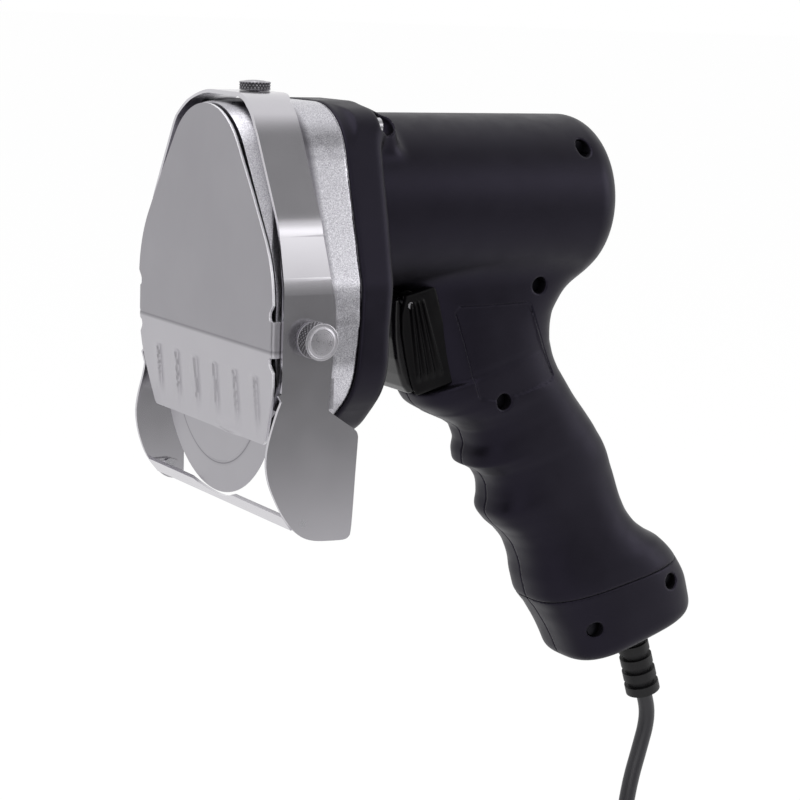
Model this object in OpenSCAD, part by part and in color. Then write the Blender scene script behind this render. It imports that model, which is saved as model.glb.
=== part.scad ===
// Hand-held electric kebab slicer: a pistol-grip motor body, a gear head with a round
// blade behind a flat cover, and a sliding guide frame that sets the slice thickness.
// Millimetres. The blade faces -X, the motor axis runs along X, Z is up and the origin
// is the middle of the grip. Every module is drawn about the blade centre line, with
// x = 0 in the blade plane and z = 0 on the motor axis, and then moved by at_grip().

/* [Blade] */
// Diameter of the round blade
blade_d = 100; // [98:0.5:101]
// Thickness of the blade sheet
blade_t = 1.2; // [1:0.1:1.4]
// Width of the hollow-ground band along the edge
bevel_w = 13; // [10:1:15]
// Depth that the ground band is sunk below the blade face
bevel_depth = 0.3; // [0.2:0.05:0.4]
// Diameter of the clamping nut's flange
nut_d = 24; // [20:1:26]

/* [Gears and bearings] */
// Gear module
gear_m = 1; // [0.98:0.01:1.01]
// Width of each gear wheel
gear_w = 6; // [5:0.5:6]
// Play between tooth flanks
backlash = 0.16; // [0.12:0.02:0.24]
// Outside diameter of the ball bearings
bearing_od = 22; // [21:0.5:23]
// Bore of the ball bearings, the size of all shafts
bearing_id = 8; // [7:0.5:8]
// Width of the ball bearings
bearing_w = 7; // [6:0.5:7]
// Running clearance between a shaft and its bore, on the radius
run_gap = 0.04; // [0.02:0.01:0.08]

/* [Gear housing] */
// Height of the housing top above the motor axis
head_top = 41.5; // [40:0.5:42.5]
// Depth of the housing bottom below the motor axis
head_bottom = 92; // [91:0.5:94]
// Wall of the housing
head_wall = 2.5; // [2:0.25:3]
// Corner radius at the top of the housing
head_top_r = 30; // [26:1:32]
// Corner radius at the widest line
head_side_r = 23; // [18:1:28]
// Corner radius at the bottom of the housing
head_low_r = 30; // [26:1:34]
// Drop of the widest line below the motor axis
side_drop = 33; // [30:1:36]
// Distance of the housing's rear edge behind the blade
seam_x = 32; // [31:0.5:33]
// Rearward lean of that rear edge, for each unit of height
seam_lean_share = 0.055; // [0.04:0.005:0.07]

/* [Front cover] */
// Width of the cover plate
cover_w = 120; // [118:0.5:121]
// Thickness of the cover plate
cover_t = 1.2; // [1:0.1:1.5]
// Distance of the cover's front face ahead of the blade plane
cover_lead = 8; // [7:0.25:9]
// Height of the cover's top above the motor axis
cover_top = 40; // [38.5:0.5:40.5]
// Drop of the fold line below the motor axis
fold_drop = 52; // [50:0.5:54]
// Drop of the cover's bottom edge below the motor axis
cover_bottom = 90.6; // [88:0.2:91.6]
// Width of the cover at its bottom edge
cover_low_w = 98; // [94:1:104]
// Angle by which the lower panel is folded back
fold_angle = 5.5; // [3:0.5:6]
// Height of each of the two bent side tabs
tab_h = 14; // [12:1:16]
// Number of pressed ribs on the lower panel
rib_count = 6; // [4:1:7]
// Height of the pressed ribs
rib_h = 1; // [0.6:0.1:1.4]

/* [Thickness guide] */
// Width of the strap, measured along the motor axis
strap_w = 19.1; // [18:0.1:20]
// Thickness of the strap and its side plates
strap_t = 1.5; // [1.2:0.1:1.8]
// Gap between the cover's tabs and the strap
strap_gap = 0.6; // [0.4:0.05:0.9]
// Height of the guide bar
bar_h = 7; // [6:0.5:8]
// Free space between the blade's edge and the bar
bar_gap = 1.4; // [1:0.1:2.5]
// Travel of the guide to each side of the middle setting
guide_travel = 4; // [3:0.25:4.5]

/* [Thumbscrews] */
// Diameter of the side screws' knurled heads
knob_d = 14.8; // [14:0.2:17]
// Length of the side screws' knurled heads
knob_h = 7.5; // [6:0.5:9]
// Diameter of the top screw's head
top_knob_d = 13; // [12:0.5:15]
// Length of the top screw's head
top_knob_h = 4.5; // [4:0.5:6]
// Diameter of the screw shanks
screw_d = 5; // [4.5:0.25:5.5]

/* [Motor body] */
// Radius of the motor barrel
barrel_r = 36.7; // [36:0.1:37.5]
// Distance of the barrel's rear end behind the blade
barrel_x = 178; // [172:0.5:182]
// Rounding of the barrel's rear end
barrel_round = 13; // [9:0.5:15]
// Wall of the plastic body
wall = 2.5; // [2:0.1:2.8]
// Distance of the flange's rear face behind the blade
flange_x = 46; // [45:0.5:47.5]
// Amount by which the flange stands proud of the gear housing
flange_lip = 1.8; // [1:0.2:2.4]
// Rearward lean of the flange's rear face above its knee
flange_lean_share = 0.11; // [0.08:0.005:0.13]

/* [Grip] */
// Half thickness of the grip
grip_half = 21; // [19.5:0.25:22.5]
// Half thickness of the end cap's foot
foot_half = 25; // [23:0.5:27]
// Rearward rake of the grip
grip_rake = 18; // [17:0.25:19]
// Distance of the cap joint down the grip
cap_joint = 224; // [221:0.5:227]
// Length of the foot below the cap joint
foot_len = 36.5; // [34:0.5:39]
// Slope of the cap joint
cap_lean = 6; // [4:0.5:8]

/* [Motor] */
// Length of the laminated cores
core_len = 34; // [30:1:38]
// Radius of the armature core
core_r = 18; // [16:0.5:19]
// Air gap between armature and field core
air_gap = 0.6; // [0.4:0.05:0.8]
// Radius of the cooling fan
fan_r = 31; // [28:0.5:32.5]

/* [Trigger] */
// Width of the trigger
trigger_w = 24; // [20:0.5:26]
// Angle that the trigger travels when pulled
trigger_swing = 7; // [5:0.5:8]

/* [Cord] */
// Length of the ribbed bend sleeve below the foot
sleeve_len = 36; // [34:0.5:38]
// Largest diameter of the bend sleeve
sleeve_d = 16.4; // [15:0.2:17.4]
// Length of the plug pins
pin_len = 19; // [17:0.5:20]
// Diameter of the plug pins
pin_d = 4.8; // [4:0.1:5]

/* [Hidden] */
$fn = 64;

// Colours of the finishes
paint_black = [0.10, 0.095, 0.125];
rubber_black = [0.06, 0.06, 0.065];
cast_alloy = [0.78, 0.78, 0.80];
sheet_steel = [0.62, 0.61, 0.63];
bright_steel = [0.72, 0.72, 0.74];
brass_tone = [0.78, 0.62, 0.30];
copper_tone = [0.72, 0.40, 0.24];
dark_core = [0.30, 0.30, 0.33];
carbon_tone = [0.12, 0.12, 0.12];

// Shared small sizes
cut = 1;
slack = 0.3;
hole_gap = 0.1;
grip_x = 164;
grip_z = 120;

// Gear train: tooth counts, and the centre distances that follow from them
pinion_teeth = 12;
wheel_teeth = 70;
idler_teeth = 20;
blade_teeth = 36;
first_centre = gear_m * (pinion_teeth + wheel_teeth) / 2;
second_centre = gear_m * (idler_teeth + blade_teeth) / 2;
spindle_drop = first_centre + second_centre;
pressure_angle = 20;
blade_r = blade_d / 2;
shaft_r = bearing_id / 2;
bore_r = shaft_r + run_gap;

// Places along the motor axis, from the blade to the rear
hub_t = 2;
hub_r = 11;
recess_gap = 1;
front_wall_x = blade_t / 2 + hub_t + recess_gap;
front_wall_t = 1.5;
bearing_x = front_wall_x + front_wall_t;
boss_end_x = bearing_x + 2 * bearing_w;
boss_wall = 3;
gear_gap = 0.5;
gear_x = boss_end_x + gear_gap;
wheel_gap = 0.8;
wheel_x = gear_x + gear_w + wheel_gap;
wheel_w = 5;
wheel_end_x = wheel_x + wheel_w;
pinion_over = 0.5;
plate_gap = 1.2;
plate_x = wheel_end_x + plate_gap;
plate_t = 3.5;
plate_end_x = plate_x + plate_t;
lip_inset = 1.5;
motor_seat_end_x = plate_end_x + bearing_w;
fan_gap = 4;
fan_x = motor_seat_end_x + fan_gap;
fan_len = 12;
core_x = fan_x + fan_len + 14;
core_end_x = core_x + core_len;
winding_len = 7;
commutator_gap = 4;
commutator_x = core_end_x + winding_len + commutator_gap;
commutator_len = 14;
commutator_r = 10;
rear_gap = 8;
rear_seat_x = commutator_x + commutator_len + rear_gap;
rear_seat_end_x = rear_seat_x + bearing_w;

// The housing is narrower than the cover by this step on each side
head_step = 1;
head_w = cover_w - 2 * head_step;
// Outline of the gear head, as discs with their centre across, centre up and radius
top_spread = 10.5;
low_spread = 22.6;
head_discs = [
    [low_spread, head_low_r - head_bottom, head_low_r],
    [head_w / 2 - head_side_r, -side_drop, head_side_r],
    [top_spread, head_top - head_top_r, head_top_r],
    [-top_spread, head_top - head_top_r, head_top_r],
    [head_side_r - head_w / 2, -side_drop, head_side_r],
    [-low_spread, head_low_r - head_bottom, head_low_r]
];
// Outline of the cover and of the housing's front rim behind it
cover_top_r = 34;
cover_side_r = 50;
cover_side_drop = 36;
rim_over = 0.6;
cover_discs = [
    [cover_w / 2 - cover_side_r, -cover_side_drop, cover_side_r],
    [0, cover_top - cover_top_r, cover_top_r],
    [cover_side_r - cover_w / 2, -cover_side_drop, cover_side_r]
];
rim_inset = 1.2;
rim_mid_r = 15.5;
rim_mid_drop = 62;
rim_low_r = 13.5;
rim_low_spread = 36;
rim_discs = [
    [rim_low_spread, rim_low_r - head_bottom, rim_low_r],
    [cover_w / 2 - rim_inset - slack - rim_mid_r, -rim_mid_drop, rim_mid_r],
    [cover_w / 2 - cover_side_r, -cover_side_drop, cover_side_r - rim_inset],
    [0, cover_top - cover_top_r, cover_top_r + rim_over],
    [cover_side_r - cover_w / 2, -cover_side_drop, cover_side_r - rim_inset],
    [rim_mid_r + rim_inset + slack - cover_w / 2, -rim_mid_drop, rim_mid_r],
    [-rim_low_spread, rim_low_r - head_bottom, rim_low_r]
];
rim_gap = 1.2;
rim_x = cover_t - cover_lead + rim_gap;
shoulder_x = 5;
rim_land = 3.5;
shoulder_step = 0.2;
blade_room = 2;

// Side pads of the housing, where the cover's tabs lie and the guide is clamped
pad_top_drop = 38;
pad_low_drop = 76;
pad_end_x = 21;
pad_depth = 9;
tab_inner = cover_w / 2 - cover_t;
tab_len = 23;
notch_r = 1.6;
pad_y = tab_inner;
pad_start_x = -3;
clamp_drop = fold_drop - 4.5;
strap_in = cover_w / 2 + strap_gap;
strap_out = strap_in + strap_t;
// Places of the thumbscrews behind the blade plane
strap_mid_side_x = 9.1;
strap_top_x = 14;
crown_gap = 2;
strap_z = head_top + crown_gap;
// Side view of the strap: its front and rear edges, from the side plates up to the crown
strap_front_x = -4.1;
strap_rear_x = strap_front_x + strap_w;
strap_front_points = [[0, -82], [0, 33], [1.4, 40], [4.6, 46.5], [4.6, 60]];
strap_rear_points = [
    [8.1, 60], [8.1, 46.5], [2, 42], [0.4, 33], [0, 13], [0, -7], [1.8, -24.5], [3.9, -35], [4.2, -44],
    [3.4, -54], [2, -74], [2, -82]
];
strap_top_r = 32;
strap_top_spread = 10.5;
strap_mid_r = 0.451 * strap_out;
strap_mid_spread = 0.483 * strap_out;
strap_mid_drop = 13.6;
strap_side_r = 24;
strap_side_drop = 30;
strap_discs = [
    [strap_out - strap_side_r, -strap_side_drop, strap_side_r],
    [strap_mid_spread, -strap_mid_drop, strap_mid_r],
    [strap_top_spread, strap_z + strap_t - strap_top_r, strap_top_r],
    [-strap_top_spread, strap_z + strap_t - strap_top_r, strap_top_r],
    [-strap_mid_spread, -strap_mid_drop, strap_mid_r],
    [strap_side_r - strap_out, -strap_side_drop, strap_side_r]
];
slot_half = screw_d / 2 + slack;

// Side plates of the guide: the near one flares to the rear
curve_steps = 3;
plate_low = 129;
near_plate_points = [
    [-4.1, -68], [-4.1, -71.5], [-5.5, -75], [-7.6, -81.5], [-9.6, -89.2], [-10, -96.5], [-8.6, -103.5],
    [-5.8, -110], [-2.3, -116.4], [2.1, -122.2], [7, -126.1], [12, -127.8], [18, -128.4], [25.4, -128.6],
    [27.9, -127.6], [28.8, -125.2], [29.4, -117], [30.2, -100], [30.8, -88.8], [30.6, -86.4], [29.3, -84.4],
    [24, -80.8], [17.4, -76.2], [16.4, -74.6], [15.6, -68]
];
far_plate_points = [
    [-4.1, -68], [-4.1, -75], [-5.2, -81], [-7, -88], [-8, -95.5], [-7.2, -103], [-5.2, -110], [-2.3, -116.4],
    [2.1, -122.2], [6, -125.6], [9.6, -126.9], [12.8, -127], [14.6, -126], [15.2, -124], [15.2, -115],
    [15.2, -95], [15.2, -75], [15.2, -68]
];
scallop_depth = 2.9;
bar_tilt = 36;
bar_z = spindle_drop + blade_r + bar_gap - scallop_depth;
bar_t = 1.5;
bar_x = -1.7;
foot_end_x = 12;
foot_low = 4.2;
rivet_x = 7;
rivet_r = 1.6;
rivet_head_r = 2.6;
rivet_head_t = 1;

// Grip frame: u runs back along a section, v runs down the grip
guard_top = 62;
guard_end = 107;
guard_back = 79;
// Sections of the grip as shares of the cap joint's distance: distance down the grip,
// front edge, back edge and half thickness as a share of the grip's half thickness
section_shares = [
    [0.200, 0.312, 0.745, 0.95],
    [0.300, 0.312, 0.740, 1.03],
    [0.345, 0.312, 0.722, 1.05],
    [0.375, 0.312, 0.678, 1.06],
    [0.400, 0.312, 0.640, 1.06],
    [0.425, 0.312, 0.613, 1.06],
    [0.460, 0.312, 0.597, 1.06],
    [0.476, 0.312, 0.593, 1.05],
    [0.479, 0.272, 0.592, 1.05],
    [0.505, 0.280, 0.591, 1.05],
    [0.535, 0.306, 0.595, 1.04],
    [0.560, 0.334, 0.602, 1.03],
    [0.578, 0.354, 0.608, 1.01],
    [0.600, 0.369, 0.615, 1.00],
    [0.625, 0.371, 0.625, 0.99],
    [0.650, 0.360, 0.636, 0.99],
    [0.667, 0.358, 0.643, 0.99],
    [0.683, 0.374, 0.649, 0.99],
    [0.705, 0.392, 0.656, 0.98],
    [0.730, 0.398, 0.664, 0.98],
    [0.757, 0.393, 0.669, 0.98],
    [0.784, 0.382, 0.671, 0.98],
    [0.810, 0.391, 0.673, 0.98],
    [0.845, 0.413, 0.674, 0.99],
    [0.882, 0.428, 0.679, 1.01],
    [0.920, 0.432, 0.693, 1.05],
    [0.955, 0.429, 0.718, 1.10],
    [0.985, 0.429, 0.747, 1.14]
];
body_front = section_shares[0][1] * cap_joint;
// Upper rows of the foot: share of its length, flare in front and behind, share of its half thickness
foot_top_shares = [[0.22, 1, -0.43, 0.984], [0.55, 0.35, 0.07, 1]];
// Rounded corner of the foot's end: shares of its rounding up from the end, in and across
foot_corner_shares = [[0.45, 0.2, 0.16], [0.12, 0.6, 0.5], [0, 1.28, 1]];
section_n = 28;
square_power = 0.68;

function unit_pow(a, p) = sign(a) * pow(abs(a), p);
// One closed ring of a section: v down the grip, front and back edge, half thickness
function ring(v, front, back, half) = [
    for (k = [0:section_n - 1])
        let (t = 360 * k / section_n)
        [
            (front + back) / 2 + (back - front) / 2 * unit_pow(cos(t), square_power),
            -half * unit_pow(sin(t), square_power),
            -v
        ]
];
// Side walls between the rings of a tube, and the two flat ends
function tube_faces(rings, n) = concat(
    [[for (k = [0:n - 1]) k]],
    [
        for (i = [0:rings - 2])
            for (k = [0:n - 1])
                let (a = i * n + k, b = i * n + (k + 1) % n)
                each [[a, a + n, b], [b, a + n, b + n]]
    ],
    [[for (k = [0:n - 1]) rings * n - 1 - k]]
);

// Sections of the foot below the cap joint, from the joint to the rounded end
foot_end = cap_joint + foot_len;
foot_round = 6;
foot_front_u = 105.4;
foot_back_u = 175.8;
foot_flare = 5.4;
foot_rows = [
    for (c = foot_top_shares)
        [cap_joint + foot_len * c[0], foot_front_u - foot_flare * c[1],
            foot_back_u + foot_flare * c[2], foot_half * c[3]],
    [foot_end - foot_round, foot_front_u, foot_back_u, foot_half],
    for (c = foot_corner_shares)
        [foot_end - foot_round * c[0], foot_front_u + foot_round * c[1], foot_back_u - foot_round * c[1],
            foot_half - foot_round * c[2]]
];
grip_rows = concat(
    [for (s = section_shares) [s[0] * cap_joint, s[1] * cap_joint, s[2] * cap_joint, s[3] * grip_half]],
    foot_rows
);

// Barrel and flange
cap_rows = [for (r = grip_rows) if (r[0] > cap_joint - wall * wall) r];
flange_knee_drop = 44;
flange_wall = 3;
flange_pocket_r = 5;
screw_head_r = 3.6;
screw_head_h = 2.4;
body_screw_r = 1.6;
body_screw_head_r = 3;
recess_r = 3.6;
// Gearbox screws, across and up from the motor axis
gearbox_screw_y = 27.5;
gearbox_top_z = 32.5;
gearbox_low_y = 31;
gearbox_low_z = -68;
gearbox_screw_len = 22;
hump_r = 7;
hump_y = 25;
hump_z = 30;
hump_end_x = 63;
// Body screws in the side view, behind the blade and up from the motor axis
body_screw_places = [[159.5, 23.4], [143.9, -36], [128.4, -86.5]];
cap_screw_places = [[184.5, -195.7], [225.7, -177]];
boss_r = 4.4;

// Bare recessed panel on each side of the body
panel_depth = 0.6;
panel_points = [[103, -45], [115.5, -84], [128, -87], [157, -78], [146, -60], [139, -44]];

// Trigger, in the grip frame
pivot_u = 65.6;
pivot_v = 67;
pivot_r = 1.5;
pivot_len = 30;
trigger_front = 54;
trigger_back = 63.5;
trigger_end = 105;
trigger_start = 62;
guard_wall = 4;
guard_half = trigger_w / 2 + slack + guard_wall;
guard_front = 61;
pleat_count = 4;
pleat_depth = 1.4;

// Bend sleeve, cord, coil and plug
sleeve_share = 0.591;
sleeve_u = foot_front_u + sleeve_share * (foot_back_u - foot_front_u);
sleeve_r = sleeve_d / 2;
sleeve_top_r = 7;
sleeve_collar_r = 9;
sleeve_collar_t = 3;
sleeve_ribs = 5;
cord_d = 7.6;
cord_r = cord_d / 2;
tube_n = 8;
coil_sides = 6;
loop_rings = 24;
coil_turns = 6;
coil_pitch = cord_d + 0.6;
coil_in_r = 33;
layer_gap = cord_d + 0.6;
coil_z = -364;
coil_x = 220.6;
// Route of the cord's free stretch from the sleeve to the coil, in the drawing frame
cord_route = [
    [231.43, 0, -236.56], [233.9, 0, -244.17], [234.6, 0, -250], [233.9, -0.1, -256], [232.2, -0.3, -262],
    [229.8, -0.8, -269], [226.9, -1.5, -277], [224.2, -2.4, -286], [222.2, -3.2, -296], [221, -3.8, -308],
    [220.6, -4.1, -322], [220.6, -4.1, -340], [220.6, -4.1, -355], [220.6, -4.1, -364]
];
// Route of the short tail from the coil to the plug
tail_route = [
    [220.6, 4.1, -364], [220.6, 4.1, -373], [220.6, 4.1, -385], [220.6, 4.1, -399], [220.6, 4.1, -414],
    [220.6, 4.1, -428]
];

// Moves a piece from the drawing frame to the part frame, whose origin is in the grip
module at_grip() translate([-grip_x, 0, grip_z]) children();

// Draws a piece in the grip frame: x back along a section, z up the grip
module grip_frame() rotate([0, -grip_rake, 0]) children();

// Extrudes a flat shape, drawn across and up, along the motor axis
module along_x(from, to) translate([from, 0, 0]) rotate([90, 0, 90]) linear_extrude(to - from) children();

// Extrudes a flat shape, drawn in the side view, across the part
module along_y(from, to) translate([0, to, 0]) rotate([90, 0, 0]) linear_extrude(to - from) children();

// Round bar along the motor axis
module bar_along_x(from, to, r) translate([from, 0, 0]) rotate([0, 90, 0]) cylinder(h = to - from, r = r);

// Round bar across the part
module bar_along_y(from, to, r) translate([0, to, 0]) rotate([90, 0, 0]) cylinder(h = to - from, r = r);

// Tangent points of a belt round two discs, walked with the outside on the right
function belt_normal(a, b) =
    let (dy = b[0] - a[0], dz = b[1] - a[1])
    atan2(dz, dy) - acos((a[2] - b[2]) / norm([dy, dz]));
function belt_points(discs) = [
    for (i = [0:len(discs) - 1])
        let (a = discs[i], b = discs[(i + 1) % len(discs)], n = belt_normal(a, b))
        each [
            [a[0] + (a[2] - belt_sink) * cos(n), a[1] + (a[2] - belt_sink) * sin(n)],
            [b[0] + (b[2] - belt_sink) * cos(n), b[1] + (b[2] - belt_sink) * sin(n)]
        ]
];
// The straight runs lie this much inside the true tangents, so that they cross the arcs
belt_sink = 0.02;
function grown(discs, g) = [for (d = discs) [d[0], d[1], d[2] + g]];

// Belt shape round a list of discs, with true arcs
module belt_shape(discs) {
    polygon(belt_points(discs));
    for (d = discs) translate([d[0], d[1]]) circle(r = d[2], $fn = 96);
}

module head_shape(g) belt_shape(grown(head_discs, g));

module rim_shape(g) belt_shape(grown(rim_discs, g));

// Involute gear wheel outline
function involute(a) = tan(a) * 180 / PI - a;
function flank_angle(teeth, r) =
    let (rb = gear_m * teeth / 2 * cos(pressure_angle))
    90 / teeth - backlash / 2 / (gear_m * teeth / 2) * 90 / PI
        + involute(pressure_angle) - involute(acos(min(1, rb / r)));
flank_steps = 3;
addendum_share = 0.9;
dedendum_share = 1.2;
function flank_point(teeth, c, r, side) = [r, c + side * flank_angle(teeth, r)];
function tooth(teeth, c) =
    let (
        rp = gear_m * teeth / 2,
        root = rp - dedendum_share * gear_m,
        low = max(rp * cos(pressure_angle), root),
        tip = rp + addendum_share * gear_m
    )
    concat(
        [[root, c - flank_angle(teeth, low)]],
        [for (k = [0:flank_steps]) flank_point(teeth, c, low + (tip - low) * k / flank_steps, -1)],
        [for (k = [flank_steps:-1:0]) flank_point(teeth, c, low + (tip - low) * k / flank_steps, 1)],
        [[root, c + flank_angle(teeth, low)]]
    );
module gear_shape(teeth, turn) polygon([
    for (i = [0:teeth - 1])
        for (p = tooth(teeth, turn + 360 * i / teeth))
            [p[0] * cos(p[1]), p[0] * sin(p[1])]
]);

// Space in front of the housing's rear edge, as a side view that leans back
module before_seam(offset_x) along_y(-head_w, head_w) polygon([
    [-head_w, -2 * head_bottom],
    [seam_x + offset_x + (side_drop - 2 * head_bottom) * seam_lean_share, -2 * head_bottom],
    [seam_x + offset_x + (2 * head_top + side_drop) * seam_lean_share, 2 * head_top],
    [-head_w, 2 * head_top]
]);

// Axes of the three thumbscrews
module on_top_axis() translate([strap_top_x, 0, 0]) children();
module on_side_axis() translate([strap_mid_side_x, 0, -clamp_drop]) children();

boss_screw_r = 6;
boss_screw_len = 10;

// Cast gear housing: front rim round the blade, front wall, gear chamber
module gear_housing() at_grip() color(cast_alloy) difference() {
    union() {
        along_x(front_wall_x, plate_x) head_shape(-lip_inset);
        intersection() {
            union() {
                along_x(shoulder_x, 2 * seam_x) head_shape(0);
                hull() {
                    along_x(rim_x, rim_x + rim_land) rim_shape(0);
                    along_x(shoulder_x, shoulder_x + cut) head_shape(-shoulder_step);
                }
                for (s = [-1, 1]) along_y(s > 0 ? pad_y - pad_depth : -pad_y, s > 0 ? pad_y : pad_depth - pad_y)
                    polygon([
                        [pad_start_x, -pad_top_drop],
                        [pad_end_x, -pad_top_drop],
                        [pad_end_x, -pad_low_drop],
                        [pad_start_x, -pad_low_drop]
                    ]);
            }
            before_seam(0);
        }
    }
    // Space for the blade behind the cover, open at the bottom
    translate([0, 0, -spindle_drop]) bar_along_x(rim_x - cut, front_wall_x, blade_r + blade_room);
    // Slope that the folded lower panel of the cover lies on
    translate([-cover_lead, 0, -fold_drop]) rotate([0, -fold_angle, 0])
        translate([-cover_lead, -cover_w, -2 * fold_drop])
            cube([cover_lead + cover_t + rim_gap, 2 * cover_w, 2 * fold_drop]);
    // Gear chamber, with bosses left standing for the bearings, the pin and the screws
    difference() {
        along_x(bearing_x + front_wall_t, 3 * seam_x) head_shape(-head_wall);
        translate([0, 0, -spindle_drop]) bar_along_x(0, boss_end_x, bearing_od / 2 + boss_wall);
        translate([0, 0, -first_centre]) bar_along_x(0, boss_end_x, shaft_r + boss_wall);
        for (s = [-1, 1]) {
            translate([0, s * gearbox_screw_y, gearbox_top_z]) bar_along_x(0, plate_x, boss_r);
            translate([0, s * gearbox_low_y, gearbox_low_z]) bar_along_x(0, plate_x, boss_r);
            translate([0, 0, -clamp_drop]) on_side_boss(s);
        }
        translate([strap_top_x, 0, head_top - boss_screw_len]) cylinder(h = boss_screw_len, r = boss_screw_r);
    }
    along_x(plate_x, 3 * seam_x) head_shape(-lip_inset);
    // Bearing seat, shaft opening, pin hole and threaded holes
    translate([0, 0, -spindle_drop]) bar_along_x(bearing_x, boss_end_x + cut, bearing_od / 2);
    translate([0, 0, -spindle_drop]) bar_along_x(0, bearing_x + cut, bearing_od / 2 - front_wall_t);
    translate([0, 0, -first_centre]) bar_along_x(bearing_x, boss_end_x + cut, shaft_r);
    for (s = [-1, 1]) {
        translate([0, s * gearbox_screw_y, gearbox_top_z])
            bar_along_x(plate_end_x - gearbox_screw_len, plate_x + cut, body_screw_r);
        translate([0, s * gearbox_low_y, gearbox_low_z])
            bar_along_x(plate_end_x - gearbox_screw_len, plate_x + cut, body_screw_r);
    }
    on_side_axis() bar_along_y(-head_w, -side_hole_y, screw_d / 2 + run_gap);
    on_side_axis() bar_along_y(side_hole_y, head_w, screw_d / 2 + run_gap);
    on_top_axis() translate([0, 0, head_top - boss_screw_len + front_wall_t])
        cylinder(h = boss_screw_len + cut, r = screw_d / 2 + run_gap);
}
side_hole_y = pad_y - boss_screw_len + front_wall_t;

// Boss behind a side pad that takes a thumbscrew
module on_side_boss(s) translate([strap_mid_side_x, 0, 0])
    bar_along_y(s > 0 ? pad_y - boss_screw_len : -pad_y, s > 0 ? pad_y : boss_screw_len - pad_y, boss_screw_r);

// Flat shape of the cover above the fold
module cover_upper_shape() intersection() {
    union() {
        belt_shape(cover_discs);
        translate([-cover_w / 2, -fold_drop]) square([cover_w, fold_drop - cover_side_drop]);
    }
    translate([-cover_w, -fold_drop]) square([2 * cover_w, fold_drop + 2 * cover_top]);
}

cover_knee = 18;
cover_knee_w = cover_w - 4;
lower_len = (cover_bottom - fold_drop) / cos(fold_angle);
// Flat shape of the folded lower panel, measured down from the fold
module cover_lower_shape() polygon([
    [-cover_w / 2, 0], [-cover_knee_w / 2, -cover_knee], [-cover_low_w / 2, -lower_len],
    [cover_low_w / 2, -lower_len], [cover_knee_w / 2, -cover_knee], [cover_w / 2, 0]
]);

rib_w = 5;
rib_top = 11;
rib_len = 21;
rib_pitch = 17.4;
// Sheet cover over the blade, with a folded-back ribbed lower panel and two bent tabs
module front_cover() at_grip() color(sheet_steel) difference() {
    union() {
        along_x(-cover_lead, cover_t - cover_lead) cover_upper_shape();
        translate([-cover_lead, 0, -fold_drop]) rotate([0, -fold_angle, 0]) {
            along_x(0, cover_t) cover_lower_shape();
            for (i = [0:rib_count - 1]) pressed_rib((i - (rib_count - 1) / 2) * rib_pitch);
        }
        for (s = [-1, 1]) difference() {
            translate([-cover_lead, s > 0 ? tab_inner : -cover_w / 2, -clamp_drop - tab_h / 2])
                cube([tab_len, cover_t, tab_h]);
            on_side_axis() bar_along_y(-cover_w, cover_w, screw_d / 2 + slack);
        }
    }
    for (s = [-1, 1]) for (e = [-1, 1])
        translate([0, s * (cover_w / 2 - notch_r), -clamp_drop + e * (tab_h / 2 + notch_r)]) {
            bar_along_x(-2 * cover_lead, 0, notch_r);
            translate([-2 * cover_lead, s > 0 ? 0 : -cover_w, -notch_r])
                cube([2 * cover_lead, cover_w, 2 * notch_r]);
        }
}

// One upright rib pressed forward from the lower panel, with round ends
module pressed_rib(y) intersection() {
    translate([0, y, 0]) {
        translate([rib_w / 2 - rib_h, 0, -rib_top - rib_len + rib_w / 2])
            cylinder(h = rib_len - rib_w, r = rib_w / 2);
        for (z = [-rib_top - rib_w / 2, -rib_top - rib_len + rib_w / 2])
            translate([rib_w / 2 - rib_h, 0, z]) sphere(r = rib_w / 2);
    }
    translate([-rib_w, y - rib_w, -lower_len]) cube([rib_w + cover_t / 2, 2 * rib_w, lower_len]);
}

// Round blade: a flat disc with a sunk, hollow-ground edge band
module blade() at_grip() color(bright_steel) translate([0, 0, -spindle_drop]) rotate([0, 90, 0])
    rotate_extrude($fn = 128) polygon([
        [shaft_r, -blade_t / 2],
        [blade_r - bevel_w, -blade_t / 2],
        [blade_r - bevel_w + bevel_depth, bevel_depth - blade_t / 2],
        [blade_r, blade_t / 2 - bevel_depth],
        [blade_r, blade_t / 2],
        [shaft_r, blade_t / 2]
    ]);

nut_t = 3;
nut_hex_t = 2.2;
nut_hex_r = 8;
// Flanged nut in front of the blade
module blade_nut() at_grip() color(bright_steel) translate([0, 0, -spindle_drop]) difference() {
    union() {
        bar_along_x(-blade_t / 2 - nut_t + nut_hex_t, -blade_t / 2, nut_d / 2);
        bar_along_x(-blade_t / 2 - nut_t, -blade_t / 2, nut_hex_r);
    }
    bar_along_x(-blade_lead_x, 0, shaft_r);
}
blade_lead_x = blade_t / 2 + nut_t + cut;

// Spindle that carries the blade, its nut and the driven gear
module blade_spindle() at_grip() color(bright_steel) translate([0, 0, -spindle_drop]) {
    bar_along_x(-blade_t / 2 - nut_t, gear_x + gear_w, shaft_r);
    bar_along_x(blade_t / 2, blade_t / 2 + hub_t, hub_r);
}

// Driven gear on the spindle
module blade_gear() at_grip() color(brass_tone) translate([0, 0, -spindle_drop]) difference() {
    along_x(gear_x, gear_x + gear_w) gear_shape(blade_teeth, 90 + 180 / blade_teeth);
    bar_along_x(gear_x - cut, gear_x + gear_w + cut, shaft_r);
}

// Two-step idler between the motor pinion and the driven gear
module idler_gear() at_grip() color(brass_tone) translate([0, 0, -first_centre]) difference() {
    union() {
        along_x(gear_x, wheel_x + cut) gear_shape(idler_teeth, 0);
        along_x(wheel_x, wheel_end_x) gear_shape(wheel_teeth, 90 + 180 / wheel_teeth);
    }
    bar_along_x(gear_x - cut, wheel_end_x + cut, bore_r);
}

// Fixed pin that the idler turns on
module idler_pin() at_grip() color(bright_steel) translate([0, 0, -first_centre])
    bar_along_x(bearing_x, plate_end_x, shaft_r);

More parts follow.
